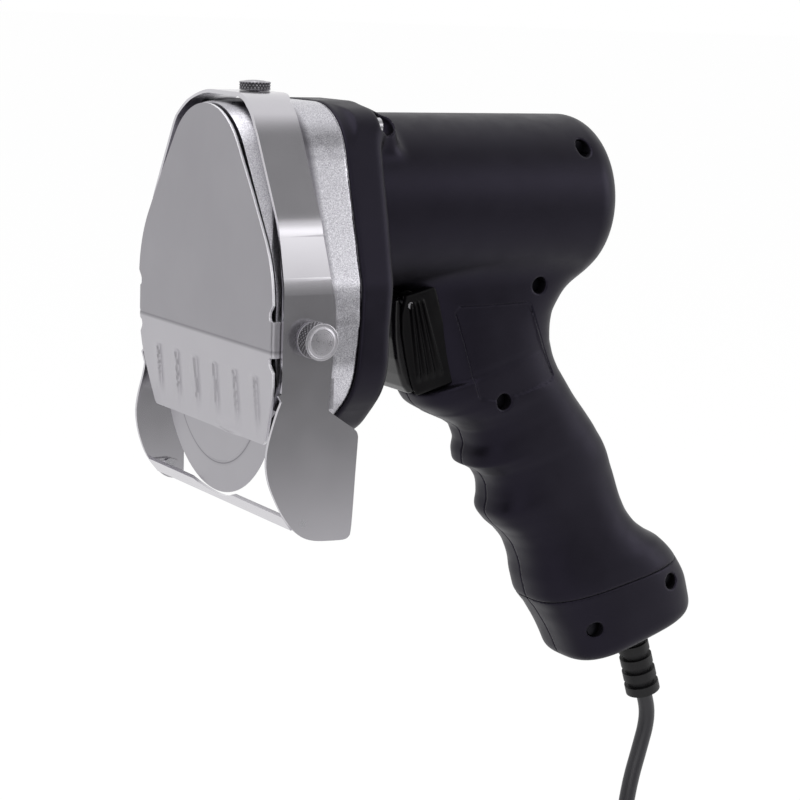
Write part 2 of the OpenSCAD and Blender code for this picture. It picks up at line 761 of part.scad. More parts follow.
// One ball bearing: a ring with its races and shields as one closed piece
module bearing_ring(x, play) difference() {
    bar_along_x(x, x + bearing_w, bearing_od / 2);
    bar_along_x(x - cut, x + bearing_w + cut, shaft_r + play);
    for (e = [x - shield_sink, x + bearing_w - shield_sink]) difference() {
        bar_along_x(e, e + 2 * shield_sink, bearing_od / 2 - race_t);
        bar_along_x(e - cut, e + cut + 2 * shield_sink, shaft_r + race_t);
    }
}
race_t = 1.8;
shield_sink = 0.4;

// Pair of ball bearings of the blade spindle
module spindle_bearings() at_grip() color(bright_steel) translate([0, 0, -spindle_drop]) {
    bearing_ring(bearing_x, run_gap);
    bearing_ring(bearing_x + bearing_w, run_gap);
}

// Plate that closes the gear chamber and carries the front motor bearing
module bearing_plate() at_grip() color(cast_alloy) difference() {
    union() {
        along_x(plate_x, plate_end_x) head_shape(-lip_inset);
        bar_along_x(plate_x, motor_seat_end_x, bearing_od / 2 + boss_wall);
    }
    bar_along_x(plate_end_x, motor_seat_end_x + cut, bearing_od / 2);
    bar_along_x(0, plate_end_x + cut, pinion_clear_r);
    translate([0, 0, -first_centre]) bar_along_x(0, plate_end_x + cut, shaft_r);
    for (s = [-1, 1]) {
        translate([0, s * gearbox_screw_y, gearbox_top_z])
            bar_along_x(0, plate_end_x + cut, body_screw_r + hole_gap);
        translate([0, s * gearbox_low_y, gearbox_low_z])
            bar_along_x(0, plate_end_x + cut, body_screw_r + hole_gap);
    }
}
pinion_clear_r = gear_m * pinion_teeth / 2 + 2 * gear_m;

// Outline of the strap's outer face, seen from the front
module strap_shape(inset) {
    belt_shape(grown(strap_discs, -inset));
    translate([inset - strap_out, -2 * plate_low])
        square([2 * (strap_out - inset), 2 * plate_low - strap_side_drop]);
}

// Points of a smooth closed curve through the given ones
function curve_point(a, b, c, d, t) = 0.5 * (
    2 * b + (c - a) * t + (2 * a - 5 * b + 4 * c - d) * t * t + (3 * b - a - 3 * c + d) * t * t * t
);
function closed_curve(pts, steps) = [
    for (i = [0:len(pts) - 1])
        let (n = len(pts), a = pts[(i + n - 1) % n], b = pts[i], c = pts[(i + 1) % n], d = pts[(i + 2) % n])
        for (k = [0:steps - 1]) curve_point(a, b, c, d, k / steps)
];

// Side view of the strap's legs and crown
module strap_side_view() polygon(concat(
    [for (q = strap_front_points) [strap_front_x + q[0], q[1]]],
    [for (q = strap_rear_points) [strap_rear_x + q[0], q[1]]]
));

// Bent sheet strap over the housing with its two side plates
module guide_strap() at_grip() color(sheet_steel) difference() {
    intersection() {
        along_x(-head_w, head_w) difference() {
            strap_shape(0);
            strap_shape(strap_t);
        }
        union() {
            along_y(-head_w, head_w) strap_side_view();
            along_y(-head_w, 0) polygon(closed_curve(near_plate_points, curve_steps));
            along_y(0, head_w) polygon(closed_curve(far_plate_points, curve_steps));
        }
    }
    // Slots that let the guide slide past the three thumbscrews
    on_side_axis() guide_slot_y();
    on_top_axis() for (e = [-guide_travel, guide_travel])
        translate([e, 0, 0]) cylinder(h = 2 * strap_z, r = slot_half);
    on_top_axis() translate([-guide_travel, -slot_half, 0])
        cube([2 * guide_travel, 2 * slot_half, 2 * strap_z]);
    // Rivet holes of the guide bar
    translate([rivet_x, 0, -rivet_drop]) bar_along_y(-head_w, head_w, rivet_r);
}
rivet_drop = bar_z + bar_h * cos(bar_tilt) / 2;

// Long hole across both legs of the strap
module guide_slot_y() {
    for (e = [-guide_travel, guide_travel]) translate([e, 0, 0]) bar_along_y(-head_w, head_w, slot_half);
    translate([-guide_travel, -head_w, -slot_half]) cube([2 * guide_travel, 2 * head_w, 2 * slot_half]);
}

// Bar between the plates, leaning as their edges do, scooped below the blade, with a foot at each end
module guide_bar() at_grip() color(sheet_steel) difference() {
    union() {
        translate([bar_x, -strap_in, -bar_z]) rotate([0, -bar_tilt, 0]) translate([0, 0, -bar_h])
            cube([bar_t, 2 * strap_in, bar_h]);
        for (s = [-1, 1]) along_y(s > 0 ? strap_in - bar_t : -strap_in, s > 0 ? strap_in : bar_t - strap_in)
            polygon([
                [bar_x + bar_t * cos(bar_tilt), -bar_z],
                [bar_x + bar_t * cos(bar_tilt) / 2 + bar_h * sin(bar_tilt), -bar_z - bar_h * cos(bar_tilt)],
                [foot_end_x, -bar_z - bar_h * cos(bar_tilt)],
                [foot_end_x, -bar_z + foot_low - bar_h * cos(bar_tilt)],
                [foot_end_x - foot_low, -bar_z]
            ]);
    }
    translate([-head_w / 2, 0, -spindle_drop])
        bar_along_x(0, head_w, blade_r + bar_gap);
    translate([rivet_x, 0, -rivet_drop]) bar_along_y(-head_w, head_w, rivet_r);
}

// Rivets that join the bar to the plates, flush outside and with a head inside
module bar_rivets() at_grip() color(bright_steel) for (s = [-1, 1]) translate([rivet_x, 0, -rivet_drop]) {
    bar_along_y(s > 0 ? strap_in - bar_t : -strap_out, s > 0 ? strap_out : bar_t - strap_in, rivet_r);
    bar_along_y(s > 0 ? strap_in - bar_t - rivet_head_t : bar_t - strap_in,
        s > 0 ? strap_in - bar_t : bar_t + rivet_head_t - strap_in, rivet_head_r);
}

knurl_count = 36;
knurl_r = 0.5;
knob_dish = 0.8;
screw_reach = 9;
// Knurled thumbscrew that points down its own axis, with its head's seat at z = 0
module thumbscrew(d, h) difference() {
    union() {
        cylinder(h = h, r = d / 2);
        translate([0, 0, -screw_reach]) cylinder(h = screw_reach, r = screw_d / 2);
    }
    for (i = [0:knurl_count - 1]) rotate([0, 0, 360 * i / knurl_count])
        translate([d / 2 + knurl_r / 2, 0, -cut]) cylinder(h = h + 2 * cut, r = knurl_r, $fn = 6);
    translate([0, 0, h - knob_dish]) difference() {
        cylinder(h = cut, r = d / 2 - 2 * knob_dish);
        translate([0, 0, -cut]) cylinder(h = 3 * cut, r = screw_d / 2);
    }
}

module thumbscrew_top() at_grip() color(bright_steel)
    translate([strap_top_x, 0, strap_z + strap_t + slack]) thumbscrew(top_knob_d, top_knob_h);

module thumbscrew_left() at_grip() color(bright_steel)
    translate([strap_mid_side_x, -strap_out - slack, -clamp_drop]) rotate([90, 0, 0])
        thumbscrew(knob_d, knob_h);

module thumbscrew_right() at_grip() color(bright_steel)
    translate([strap_mid_side_x, strap_out + slack, -clamp_drop]) rotate([-90, 0, 0])
        thumbscrew(knob_d, knob_h);

// Loft of the grip through its sections, drawn in by an inset
module grip_solid(rows, inset) grip_frame() polyhedron(
    [for (r = rows) each ring(r[0], r[1] + inset, r[2] - inset, r[3] - inset)],
    tube_faces(len(rows), section_n)
);

joint_turn_u = 97;
// Half space below the cap joint, which slopes down towards the back
module cap_space() grip_frame() translate([joint_turn_u, 0, -cap_joint]) rotate([0, cap_lean, 0])
    translate([-foot_end, -2 * foot_half, -4 * foot_half]) cube([2 * foot_end, 4 * foot_half, 4 * foot_half]);

// Side view of the flange from the housing's rear edge to its own rear face
module flange_side_view(front_shift, rear_shift) polygon([
    [seam_x + front_shift + (side_drop - 2 * head_bottom) * seam_lean_share, -2 * head_bottom],
    [flange_x - rear_shift, -2 * head_bottom],
    [flange_x - rear_shift, -flange_knee_drop],
    [flange_x - rear_shift + (flange_knee_drop + 2 * head_top) * flange_lean_share, 2 * head_top],
    [seam_x + front_shift + (side_drop + 2 * head_top) * seam_lean_share, 2 * head_top]
]);

// Outer shape of both plastic halves and the foot
module body_outer() {
    for (s = [-1, 1]) translate([0, s * hump_y, hump_z]) bar_along_x(flange_x, hump_end_x, hump_r);
    intersection() {
        along_x(0, 2 * flange_x) head_shape(flange_lip);
        along_y(-head_w, head_w) flange_side_view(0, 0);
    }
    translate([barrel_start_x, 0, 0]) rotate([0, 90, 0]) rotate_extrude() union() {
        square([barrel_r, barrel_x - barrel_start_x - barrel_round]);
        square([barrel_r - barrel_round, barrel_x - barrel_start_x]);
        translate([barrel_r - barrel_round, barrel_x - barrel_start_x - barrel_round]) intersection() {
            circle(r = barrel_round);
            square(barrel_round);
        }
    }
    grip_solid(grip_rows, 0);
}
barrel_start_x = flange_x - flange_wall;

// Inner space of the plastic body
module body_inner() {
    intersection() {
        along_x(0, 2 * flange_x) head_shape(flange_lip - flange_wall);
        along_y(-head_w, head_w) flange_side_view(-cut, flange_wall);
    }
    translate([barrel_start_x - cut, 0, 0]) rotate([0, 90, 0]) rotate_extrude() union() {
        square([barrel_r - wall, barrel_x - barrel_start_x - barrel_round + cut]);
        square([barrel_r - barrel_round, barrel_x - barrel_start_x - wall + cut]);
        translate([barrel_r - barrel_round, barrel_x - barrel_start_x - barrel_round + cut]) intersection() {
            circle(r = barrel_round - wall);
            square(barrel_round);
        }
    }
    grip_solid(grip_rows, wall);
}

// Standing bosses and seats inside one half, and the cuts through it
module body_bosses() {
    for (p = body_screw_places) translate([p[0], 0, p[1]]) bar_along_y(-boss_reach, boss_reach, boss_r);
    for (p = switch_posts) grip_frame() translate([p[0], 0, -p[1]]) bar_along_y(-grip_half, grip_half, post_r);
    bar_along_x(rear_seat_x, rear_seat_end_x, barrel_r - wall / 2);
}
boss_reach = 28;
post_r = 2;
switch_posts = [[94, 76], [94, 96]];

module body_cuts() {
    for (p = body_screw_places) translate([p[0], 0, p[1]]) {
        bar_along_y(-2 * boss_reach, -recess_floor(p), recess_r);
        bar_along_y(-2 * boss_reach, recess_floor(p), body_screw_r);
    }
    bar_along_x(rear_seat_x - cut, rear_seat_end_x + cut, bearing_od / 2);
    for (a = [45:90:315]) rotate([a, 0, 0]) translate([0, (barrel_r + bearing_od / 2) / 2, 0])
        bar_along_x(rear_seat_x - cut, rear_seat_end_x + cut, web_hole_r);
    // Pockets for the four gearbox screws, open to the rear
    for (s = [-1, 1]) {
        translate([0, s * gearbox_screw_y, gearbox_top_z]) {
            bar_along_x(plate_end_x, barrel_x / 2, body_screw_r + hole_gap);
            bar_along_x(gearbox_head_x, pocket_end_x, flange_pocket_r);
        }
        translate([0, s * gearbox_low_y, gearbox_low_z]) {
            bar_along_x(plate_end_x, barrel_x / 2, body_screw_r + hole_gap);
            bar_along_x(low_head_x, pocket_end_x, flange_pocket_r);
        }
    }
    // Opening that the switch and the trigger's rear reach through
    grip_frame() translate([body_front - cut, -switch_half - slack, -guard_end + wall])
        cube([wall + 2 * cut, 2 * switch_half + 2 * slack, guard_end - guard_top - 2 * wall]);
    // Bare panel recess on each side
    along_y(panel_floor, boss_reach) polygon(panel_points);
    along_y(-boss_reach, -panel_floor) polygon(panel_points);
}
web_hole_r = 7;
switch_half = 8;
function recess_floor(p) = p[1] > 0 ? 21 : 15;
panel_floor = grip_half * 1.06 - panel_depth;
gearbox_head_x = 54;
low_head_x = flange_x - flange_wall;
pocket_end_x = 68;

// Bosses round the screws that hold the gear head
module flange_bosses() for (q = [-1, 1]) {
    translate([0, q * gearbox_screw_y, gearbox_top_z])
        bar_along_x(plate_end_x, pocket_end_x, flange_pocket_r + wall);
    translate([0, q * gearbox_low_y, gearbox_low_z])
        bar_along_x(plate_end_x, pocket_end_x, flange_pocket_r + wall);
}

module body_half(s) difference() {
    intersection() {
        difference() {
            body_outer();
            difference() {
                body_inner();
                body_bosses();
                flange_bosses();
            }
            body_cuts();
            bar_along_x(0, rear_seat_x - cut / 2, core_clear_r);
        }
        translate([-head_w, s > 0 ? 0 : -head_w, -2 * foot_end])
            cube([4 * head_w, head_w, 4 * foot_end]);
    }
    cap_space();
}
core_clear_r = barrel_r - wall - 6;

module housing_left() at_grip() color(paint_black) body_half(-1);

module housing_right() at_grip() color(paint_black) body_half(1);

// One half of the foot, closed at the bottom, with half of the cord's opening
module cap_half(s) difference() {
    intersection() {
        difference() {
            grip_solid(cap_rows, 0);
            difference() {
                grip_solid([for (r = cap_rows) if (r[0] <= foot_end - foot_round) r], wall);
                for (p = cap_screw_places)
                    translate([p[0], 0, p[1]]) bar_along_y(-boss_reach, boss_reach, boss_r);
                grip_frame() for (e = [-1, 1]) translate([sleeve_u + e * clamp_screw_u, 0, -clamp_v])
                    bar_along_y(clamp_half, boss_reach, clamp_boss_r);
            }
        }
        cap_space();
        translate([-head_w, s > 0 ? 0 : -head_w, -2 * foot_end])
            cube([4 * head_w, head_w, 4 * foot_end]);
    }
    for (p = cap_screw_places) translate([p[0], 0, p[1]]) {
        bar_along_y(-2 * boss_reach, -cap_recess, recess_r);
        bar_along_y(-2 * boss_reach, cap_recess, body_screw_r);
    }
    grip_frame() {
        translate([sleeve_u, 0, -2 * foot_end]) cylinder(h = 2 * foot_end - cap_joint - wall, r = sleeve_top_r);
        for (e = [-1, 1]) translate([sleeve_u + e * clamp_screw_u, 0, -clamp_v])
            bar_along_y(0, clamp_half + clamp_screw_bite, body_screw_r);
    }
}
cap_recess = 17;
clamp_boss_r = 3;
clamp_screw_bite = 6;

module cap_left() at_grip() color(paint_black) cap_half(-1);

module cap_right() at_grip() color(paint_black) cap_half(1);

// Pan-head screw along Y: the head sits in a recess on the near side
module cross_screw(floor_y, tip_y) {
    bar_along_y(-floor_y - screw_head_h, -floor_y, body_screw_head_r);
    bar_along_y(-floor_y, tip_y, body_screw_r);
}

module body_screws() at_grip() color(dark_core) for (p = body_screw_places)
    translate([p[0], 0, p[1]]) cross_screw(recess_floor(p), recess_floor(p) - wall);

module cap_screws() at_grip() color(dark_core) for (p = cap_screw_places)
    translate([p[0], 0, p[1]]) cross_screw(cap_recess, cap_recess - wall);

// Four screws that hold the gear housing and the bearing plate to the flange
module gearbox_screws() at_grip() color(bright_steel) for (s = [-1, 1]) {
    translate([0, s * gearbox_screw_y, gearbox_top_z]) {
        bar_along_x(plate_end_x - gearbox_screw_len, gearbox_head_x, body_screw_r);
        bar_along_x(gearbox_head_x, gearbox_head_x + screw_head_h, screw_head_r);
    }
    translate([0, s * gearbox_low_y, gearbox_low_z]) {
        bar_along_x(plate_end_x - gearbox_screw_len, low_head_x, body_screw_r);
        bar_along_x(low_head_x, low_head_x + screw_head_h, screw_head_r);
    }
}

field_r = barrel_r - wall;
// Laminated field core, with two poles that face the armature
module field_core() at_grip() color(dark_core) difference() {
    bar_along_x(core_x, core_end_x, field_r);
    bar_along_x(core_x - cut, core_end_x + cut, core_r + air_gap);
    for (e = [-1, 1]) translate([core_x - cut, -coil_y, e > 0 ? coil_low : -coil_low - coil_t])
        cube([core_len + 2 * cut, 2 * coil_y, coil_t]);
}
coil_wall = 1.7;
coil_low = core_r + air_gap + cut;
coil_t = 6;
coil_y = sqrt(pow(field_r - coil_wall, 2) - pow(coil_low + coil_t, 2));

// Two field coils through the slots above and below the poles
module field_coils() at_grip() color(copper_tone) for (e = [-1, 1]) {
    translate([core_x - winding_len, -coil_y, e > 0 ? coil_low : -coil_low - coil_t])
        cube([core_len + 2 * winding_len, 2 * coil_y, coil_t]);
}

// Armature: shaft with its laminated core
module armature() at_grip() color(dark_core) {
    bar_along_x(wheel_x - pinion_over, rear_seat_end_x, shaft_r - run_gap);
    bar_along_x(core_x, core_end_x, core_r);
}

// Windings at both ends of the armature core
module armature_windings() at_grip() color(copper_tone) difference() {
    union() {
        bar_along_x(core_x - winding_len, core_x, core_r - 2);
        bar_along_x(core_end_x, core_end_x + winding_len, core_r - 2);
    }
    bar_along_x(0, barrel_x, shaft_r - run_gap);
}

segment_count = 22;
segment_gap = 0.6;
// Commutator with its slotted copper segments
module commutator() at_grip() color(copper_tone) difference() {
    bar_along_x(commutator_x, commutator_x + commutator_len, commutator_r);
    bar_along_x(0, barrel_x, shaft_r - run_gap);
    for (i = [0:segment_count - 1]) rotate([360 * i / segment_count, 0, 0])
        translate([commutator_x - cut, commutator_r - 1.5 * segment_gap, -segment_gap / 2])
            cube([commutator_len + 2 * cut, commutator_r, segment_gap]);
}

// Motor pinion on the front of the armature shaft
module motor_pinion() at_grip() color(bright_steel) difference() {
    along_x(wheel_x - pinion_over, wheel_end_x + pinion_over) gear_shape(pinion_teeth, 0);
    bar_along_x(0, barrel_x, shaft_r - run_gap);
}

fan_blades = 11;
fan_disc_t = 2;
fan_hub_r = 9;
// Cooling fan with flat radial blades on a disc
module cooling_fan() at_grip() color(paint_black) difference() {
    union() {
        bar_along_x(fan_x, fan_x + fan_disc_t, fan_r);
        along_x(fan_x + fan_disc_t / 2, fan_x + fan_len) {
            circle(r = fan_hub_r);
            for (i = [0:fan_blades - 1]) rotate(360 * i / fan_blades)
                translate([fan_hub_r - cut, -fan_disc_t / 2]) square([fan_r - fan_hub_r, fan_disc_t]);
        }
    }
    bar_along_x(0, barrel_x, shaft_r - run_gap);
}

module motor_bearings() at_grip() color(bright_steel) {
    bearing_ring(plate_end_x, 0);
    bearing_ring(rear_seat_x, 0);
}

brush_half = 3;
holder_wall = 1;
brush_len = 12;
brush_gap = 0.3;
brush_mid_x = commutator_x + commutator_len / 2;
// Brass brush holders on both sides of the commutator
module brush_holders() at_grip() color(brass_tone) for (s = [-1, 1]) scale([1, s, 1]) difference() {
    translate([brush_mid_x - brush_half - holder_wall, holder_start, -brush_half - holder_wall])
        cube([2 * (brush_half + holder_wall), holder_end - holder_start, 2 * (brush_half + holder_wall)]);
    translate([brush_mid_x - brush_half, commutator_r, -brush_half])
        cube([2 * brush_half, brush_len + brush_gap, 2 * brush_half]);
}
holder_start = commutator_r + 2;
holder_end = field_r - wall;

// Insulating ring that carries both brush holders in the barrel
module brush_carrier() at_grip() color(dark_core) difference() {
    bar_along_x(brush_mid_x - carrier_half, brush_mid_x + carrier_half, field_r);
    bar_along_x(brush_mid_x - 2 * carrier_half, brush_mid_x + 2 * carrier_half, carrier_in_r);
    translate([brush_mid_x - brush_half - holder_wall, -holder_end, -brush_half - holder_wall])
        cube([2 * (brush_half + holder_wall), 2 * holder_end, 2 * (brush_half + holder_wall)]);
}
carrier_half = 6;
carrier_in_r = 17;

module carbon_brushes() at_grip() color(carbon_tone) for (s = [-1, 1]) scale([1, s, 1])
    translate([brush_mid_x - brush_half, commutator_r + brush_gap, -brush_half])
        cube([2 * brush_half, brush_len, 2 * brush_half]);

switch_start = 74;
switch_len = 28;
switch_top = 70;
switch_h = 32;
plunger_end = 71.2;
plunger_v = 92;
plunger_r = 2;
// Switch block behind the trigger, with its push button
module switch_body() at_grip() color(dark_core) grip_frame() difference() {
    union() {
        translate([switch_start, -switch_half, -switch_top - switch_h])
            cube([switch_len, 2 * switch_half, switch_h]);
        translate([0, 0, -plunger_v]) bar_along_x(plunger_end, switch_start + cut, plunger_r);
    }
    for (p = switch_posts) translate([p[0], 0, -p[1]]) bar_along_y(-grip_half, grip_half, post_r);
}

// Trigger paddle with a rounded front, hinged at its top end
module trigger() at_grip() color(rubber_black) grip_frame() difference() {
    union() {
        along_y(-trigger_w / 2, trigger_w / 2) intersection() {
            belt_shape(trigger_discs);
            translate([0, -2 * trigger_end]) square([trigger_back, 2 * trigger_end]);
        }
        along_y(-trigger_ear, trigger_ear) belt_shape([
            [pivot_u, -pivot_v, ear_r],
            [trigger_back - ear_r, -pivot_v, ear_r],
            [trigger_back - ear_r, -pivot_v - ear_r, ear_r]
        ]);
        translate([trigger_back - cut, -pusher_half, -plunger_v - pusher_half])
            cube([pusher_end - trigger_back + cut, 2 * pusher_half, 2 * pusher_half]);
    }
    translate([pivot_u, 0, -pivot_v]) bar_along_y(-head_w, head_w, pivot_r + run_gap);
}
trigger_ear = 6;
ear_r = 2.7;
pusher_half = 3;
pusher_end = plunger_end - slack - (plunger_v + pusher_half - pivot_v) * sin(trigger_swing);
trigger_tip_r = 2;
trigger_bow_r = 12;
trigger_bow_v = 83;
trigger_bow = [trigger_front + trigger_bow_r, -trigger_bow_v, trigger_bow_r];
trigger_discs = [
    [trigger_front + 1.2 * trigger_tip_r, trigger_tip_r - trigger_end, trigger_tip_r],
    [trigger_back - trigger_tip_r, trigger_tip_r - trigger_end, trigger_tip_r],
    trigger_bow,
    [trigger_back - trigger_tip_r, -trigger_start - trigger_tip_r, trigger_tip_r],
    trigger_bow
];

module trigger_pin() at_grip() color(bright_steel) grip_frame() translate([pivot_u, 0, -pivot_v])
    bar_along_y(-pivot_len / 2, pivot_len / 2, pivot_r);

// Fixed guard round the trigger, with fan-shaped pleats on both sides
module trigger_guard() at_grip() color(rubber_black) grip_frame() difference() {
    along_y(-guard_half, guard_half) polygon(guard_points);
    along_y(-trigger_w / 2 - slack, trigger_w / 2 + slack) polygon([
        [0, -guard_end], [body_front - cut, -guard_end],
        [body_front - cut, -guard_top + cut], [0, -guard_top + cut]
    ]);
    switch_slot();
    rotate([0, grip_rake, 0]) grip_solid([for (r = grip_rows) if (r[0] < guard_end + 2 * wall) r], 0);
    for (i = [0:pleat_count - 1]) {
        along_y(guard_half - pleat_depth, guard_half + cut) polygon(pleat_points(i));
        along_y(-guard_half - cut, pleat_depth - guard_half) polygon(pleat_points(i));
    }
    translate([pivot_u, 0, -pivot_v]) bar_along_y(-pivot_len / 2, pivot_len / 2, pivot_r);
}
guard_points = [
    [guard_front + 3, -guard_top - 1], [guard_back, -guard_top], [guard_back, -guard_end],
    [guard_front + 1, -guard_end], [guard_front, -guard_end + 20]
];
module switch_slot() translate([0, -switch_half, -guard_end + 2 * wall])
    cube([2 * body_front, 2 * switch_half, guard_end - guard_top - 4 * wall]);
// Outline of one pleat: a narrow wedge from the fan's apex down to the guard's end
function pleat_points(i) =
    let (
        span = body_front - guard_front - 2,
        low = guard_front + 2 + span * i / pleat_count,
        half = span / pleat_count * 0.55,
        high = guard_front + 5 + (body_front - guard_front - 5) * i / pleat_count,
        half_high = (body_front - guard_front - 5) / pleat_count * 0.4
    )
    [
        [low, -guard_end + wall], [low + half, -guard_end + wall],
        [high + half_high, -guard_top - wall], [high, -guard_top - wall]
    ];

clamp_v = cap_joint + 18;
clamp_half = 7.8;
clamp_w = 16;
clamp_h = 8;
clamp_screw_u = 5.7;
// Bridge that grips the cord inside the foot
module cord_clamp() at_grip() color(rubber_black) grip_frame() difference() {
    translate([sleeve_u - clamp_w / 2, -clamp_half, -clamp_v - clamp_h / 2])
        cube([clamp_w, 2 * clamp_half, clamp_h]);
    translate([sleeve_u, 0, -2 * foot_end]) cylinder(h = 2 * foot_end, r = cord_r);
    for (e = [-1, 1]) translate([sleeve_u + e * clamp_screw_u, 0, -clamp_v])
        bar_along_y(-head_w, head_w, body_screw_r);
}

module clamp_screws() at_grip() color(bright_steel) grip_frame() for (e = [-1, 1])
    translate([sleeve_u + e * clamp_screw_u, 0, -clamp_v]) {
        bar_along_y(-clamp_half, clamp_half + clamp_screw_bite - cut, body_screw_r);
        bar_along_y(-clamp_half - screw_head_h, -clamp_half, clamp_head_r);
    }
clamp_head_r = 2.6;

stub_top_v = clamp_v - 6;
// End of the cord's sheath, from the mouth of the bend sleeve up through the clamp
module cord_end() at_grip() color(rubber_black) grip_frame() translate([sleeve_u, 0, -foot_end - sleeve_len])
    cylinder(h = foot_end + sleeve_len - stub_top_v, r = cord_r);

// Ring of a tube round a point, square to a direction, with its first side up
function ring_axes(d) =
    let (
        u = d / norm(d),
        a = abs(u[1]) < 0.9 ? [0, 1, 0] : [1, 0, 0],
        p = cross(u, a) / norm(cross(u, a))
    )
    [p, cross(u, p)];
function route_way(pts, i) = pts[min(i + 1, len(pts) - 1)] - pts[max(i - 1, 0)];
// The two end rings are square to end_way where it is given
function ring_way(pts, i, end_way) = end_way && (i == 0 || i == len(pts) - 1) ? end_way : route_way(pts, i);
function tube_rings(pts, r, n, end_way) = [
    for (i = [0:len(pts) - 1])
        let (e = ring_axes(ring_way(pts, i, end_way)))
        for (k = [0:n - 1])
            pts[i] + r * (cos(360 * k / n) * e[0] + sin(360 * k / n) * e[1])
];
module route_tube(pts, r, n, end_way) polyhedron(tube_rings(pts, r, n, end_way), tube_faces(len(pts), n));

lead_r = 1.3;
lead_sides = 6;
lead_routes = [
    for (y = [-2, 2]) [
        [sleeve_u, y, -stub_top_v], [sleeve_u, y, -228], [141, y, -205], [127, y, -175], [116, y, -145],
        [106, y, -122], [98, y, -108], [98, y, -switch_top - switch_h]
    ]
];
// Two insulated leads from the cord clamp up to the switch
module inner_leads() at_grip() color(copper_tone) grip_frame()
    for (p = lead_routes) route_tube(p, lead_r, lead_sides);

// Ribbed rubber sleeve that keeps the cord from kinking at the foot
module bend_sleeve() at_grip() color(rubber_black) grip_frame()
translate([sleeve_u, 0, -foot_end]) difference() {
    union() {
        translate([0, 0, -sleeve_len])
            cylinder(h = sleeve_len, r1 = sleeve_r - 2 * sleeve_step, r2 = sleeve_top_r - sleeve_step);
        cylinder(h = foot_round, r = sleeve_top_r);
        translate([0, 0, foot_round]) cylinder(h = sleeve_collar_t, r = sleeve_collar_r);
        for (i = [1:sleeve_ribs]) let (f = i / sleeve_ribs)
            translate([0, 0, -f * sleeve_len])
                cylinder(h = rib_ring_w, r = sleeve_top_r + f * (sleeve_r - sleeve_top_r));
    }
    translate([0, 0, -2 * sleeve_len]) cylinder(h = 4 * sleeve_len, r = cord_r);
}
sleeve_step = 1;
rib_ring_w = 4.4;

// Free stretch of the cord from the sleeve to the coil, and the tail to the plug
module cord() at_grip() color(rubber_black) {
    route_tube(cord_route, cord_r, tube_n);
    route_tube(tail_route, cord_r, tube_n);
}

coil_centre = [coil_x - coil_in_r - coil_turns / 2 * coil_pitch, 0, coil_z];
// Points along the coil: in on one layer, across in the half turn where it turns, out again
coil_points = [
    for (i = [0:coil_turns * loop_rings])
        let (
            f = i / loop_rings - coil_turns / 2,
            r = coil_in_r + coil_pitch * abs(f),
            w = max(-1, min(1, 4 * f)),
            y = layer_gap / 2 * sin(90 * w),
            a = -360 * f
        )
        coil_centre + [r * cos(a), y, r * sin(a)]
];
module cord_coil() at_grip() color(rubber_black) route_tube(coil_points, cord_r, coil_sides, [0, 0, -cord_r]);
// Least distance between the middle lines of different turns, less the tube
coil_gap = min([
    for (i = [0:3:len(coil_points) - 1])
        for (j = [i + loop_rings / 2:len(coil_points) - 1])
            norm(coil_points[i] - coil_points[j])
]) - cord_d;
echo(coil_gap = coil_gap);

tie_w = 10;
tie_t = 1.5;
tie_low = coil_in_r + coil_pitch / 4 - cord_r;
tie_high = coil_in_r + coil_pitch * (coil_turns / 2 - 1 / 4) + cord_r;
tie_half = layer_gap / 2 + cord_r;
// Band round all turns of the coil, at its top
module coil_tie() at_grip() color(rubber_black) translate(coil_centre) difference() {
    translate([-tie_w / 2, -tie_half - tie_t, tie_low - tie_t])
        cube([tie_w, 2 * (tie_half + tie_t), tie_high - tie_low + 2 * tie_t]);
    translate([-tie_w, -tie_half, tie_low - slack])
        cube([2 * tie_w, 2 * tie_half, tie_high - tie_low + slack]);
}

plug_w = 33;
plug_t = 14;
plug_len = 34;
plug_pitch = 19;
plug_neck = 12;
plug_at = tail_route[len(tail_route) - 1];
module at_plug() translate(plug_at) children();

// Moulded plug body with a tapered neck
module plug_body() at_grip() color(rubber_black) at_plug() difference() {
    union() {
        translate([0, 0, -plug_neck]) cylinder(h = plug_neck, r1 = plug_t / 2, r2 = cord_r + 1);
        translate([0, 0, -plug_neck - plug_len]) along_plug();
    }
    for (e = [-1, 1]) translate([e * plug_pitch / 2, 0, -plug_neck - plug_len - cut])
        cylinder(h = pin_seat + cut, r = pin_d / 2 - pin_step);
}
pin_seat = 6;
pin_step = 0.4;
plug_corner = 5;
module along_plug() linear_extrude(plug_len) {
    square([plug_w - 2 * plug_corner, plug_t], center = true);
    square([plug_w, plug_t - 2 * plug_corner], center = true);
    for (a = [-1, 1]) for (b = [-1, 1])
        translate([a * (plug_w / 2 - plug_corner), b * (plug_t / 2 - plug_corner)]) circle(r = plug_corner);
}

module plug_pins() at_grip() color(bright_steel) at_plug() for (e = [-1, 1])
    translate([e * plug_pitch / 2, 0, -plug_neck - plug_len - pin_len]) {
        cylinder(h = pin_len, r = pin_d / 2);
        cylinder(h = pin_len + pin_seat, r = pin_d / 2 - pin_step);
    }

gear_housing();
front_cover();
bearing_plate();
spindle_bearings();
blade();
blade_nut();
blade_spindle();
blade_gear();
idler_gear();
idler_pin();
guide_strap();
guide_bar();
bar_rivets();
thumbscrew_top();
thumbscrew_left();
thumbscrew_right();
housing_left();
housing_right();
cap_left();
cap_right();
body_screws();
cap_screws();
gearbox_screws();
field_core();
field_coils();
armature();
armature_windings();
commutator();
motor_pinion();
cooling_fan();
motor_bearings();
brush_carrier();
brush_holders();
carbon_brushes();
switch_body();
trigger();
trigger_pin();
trigger_guard();
cord_clamp();
clamp_screws();
inner_leads();
cord_end();
bend_sleeve();
cord();
cord_coil();
coil_tie();
plug_body();
plug_pins();
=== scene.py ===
import math

import bpy
import numpy as np
from mathutils import Matrix, Vector


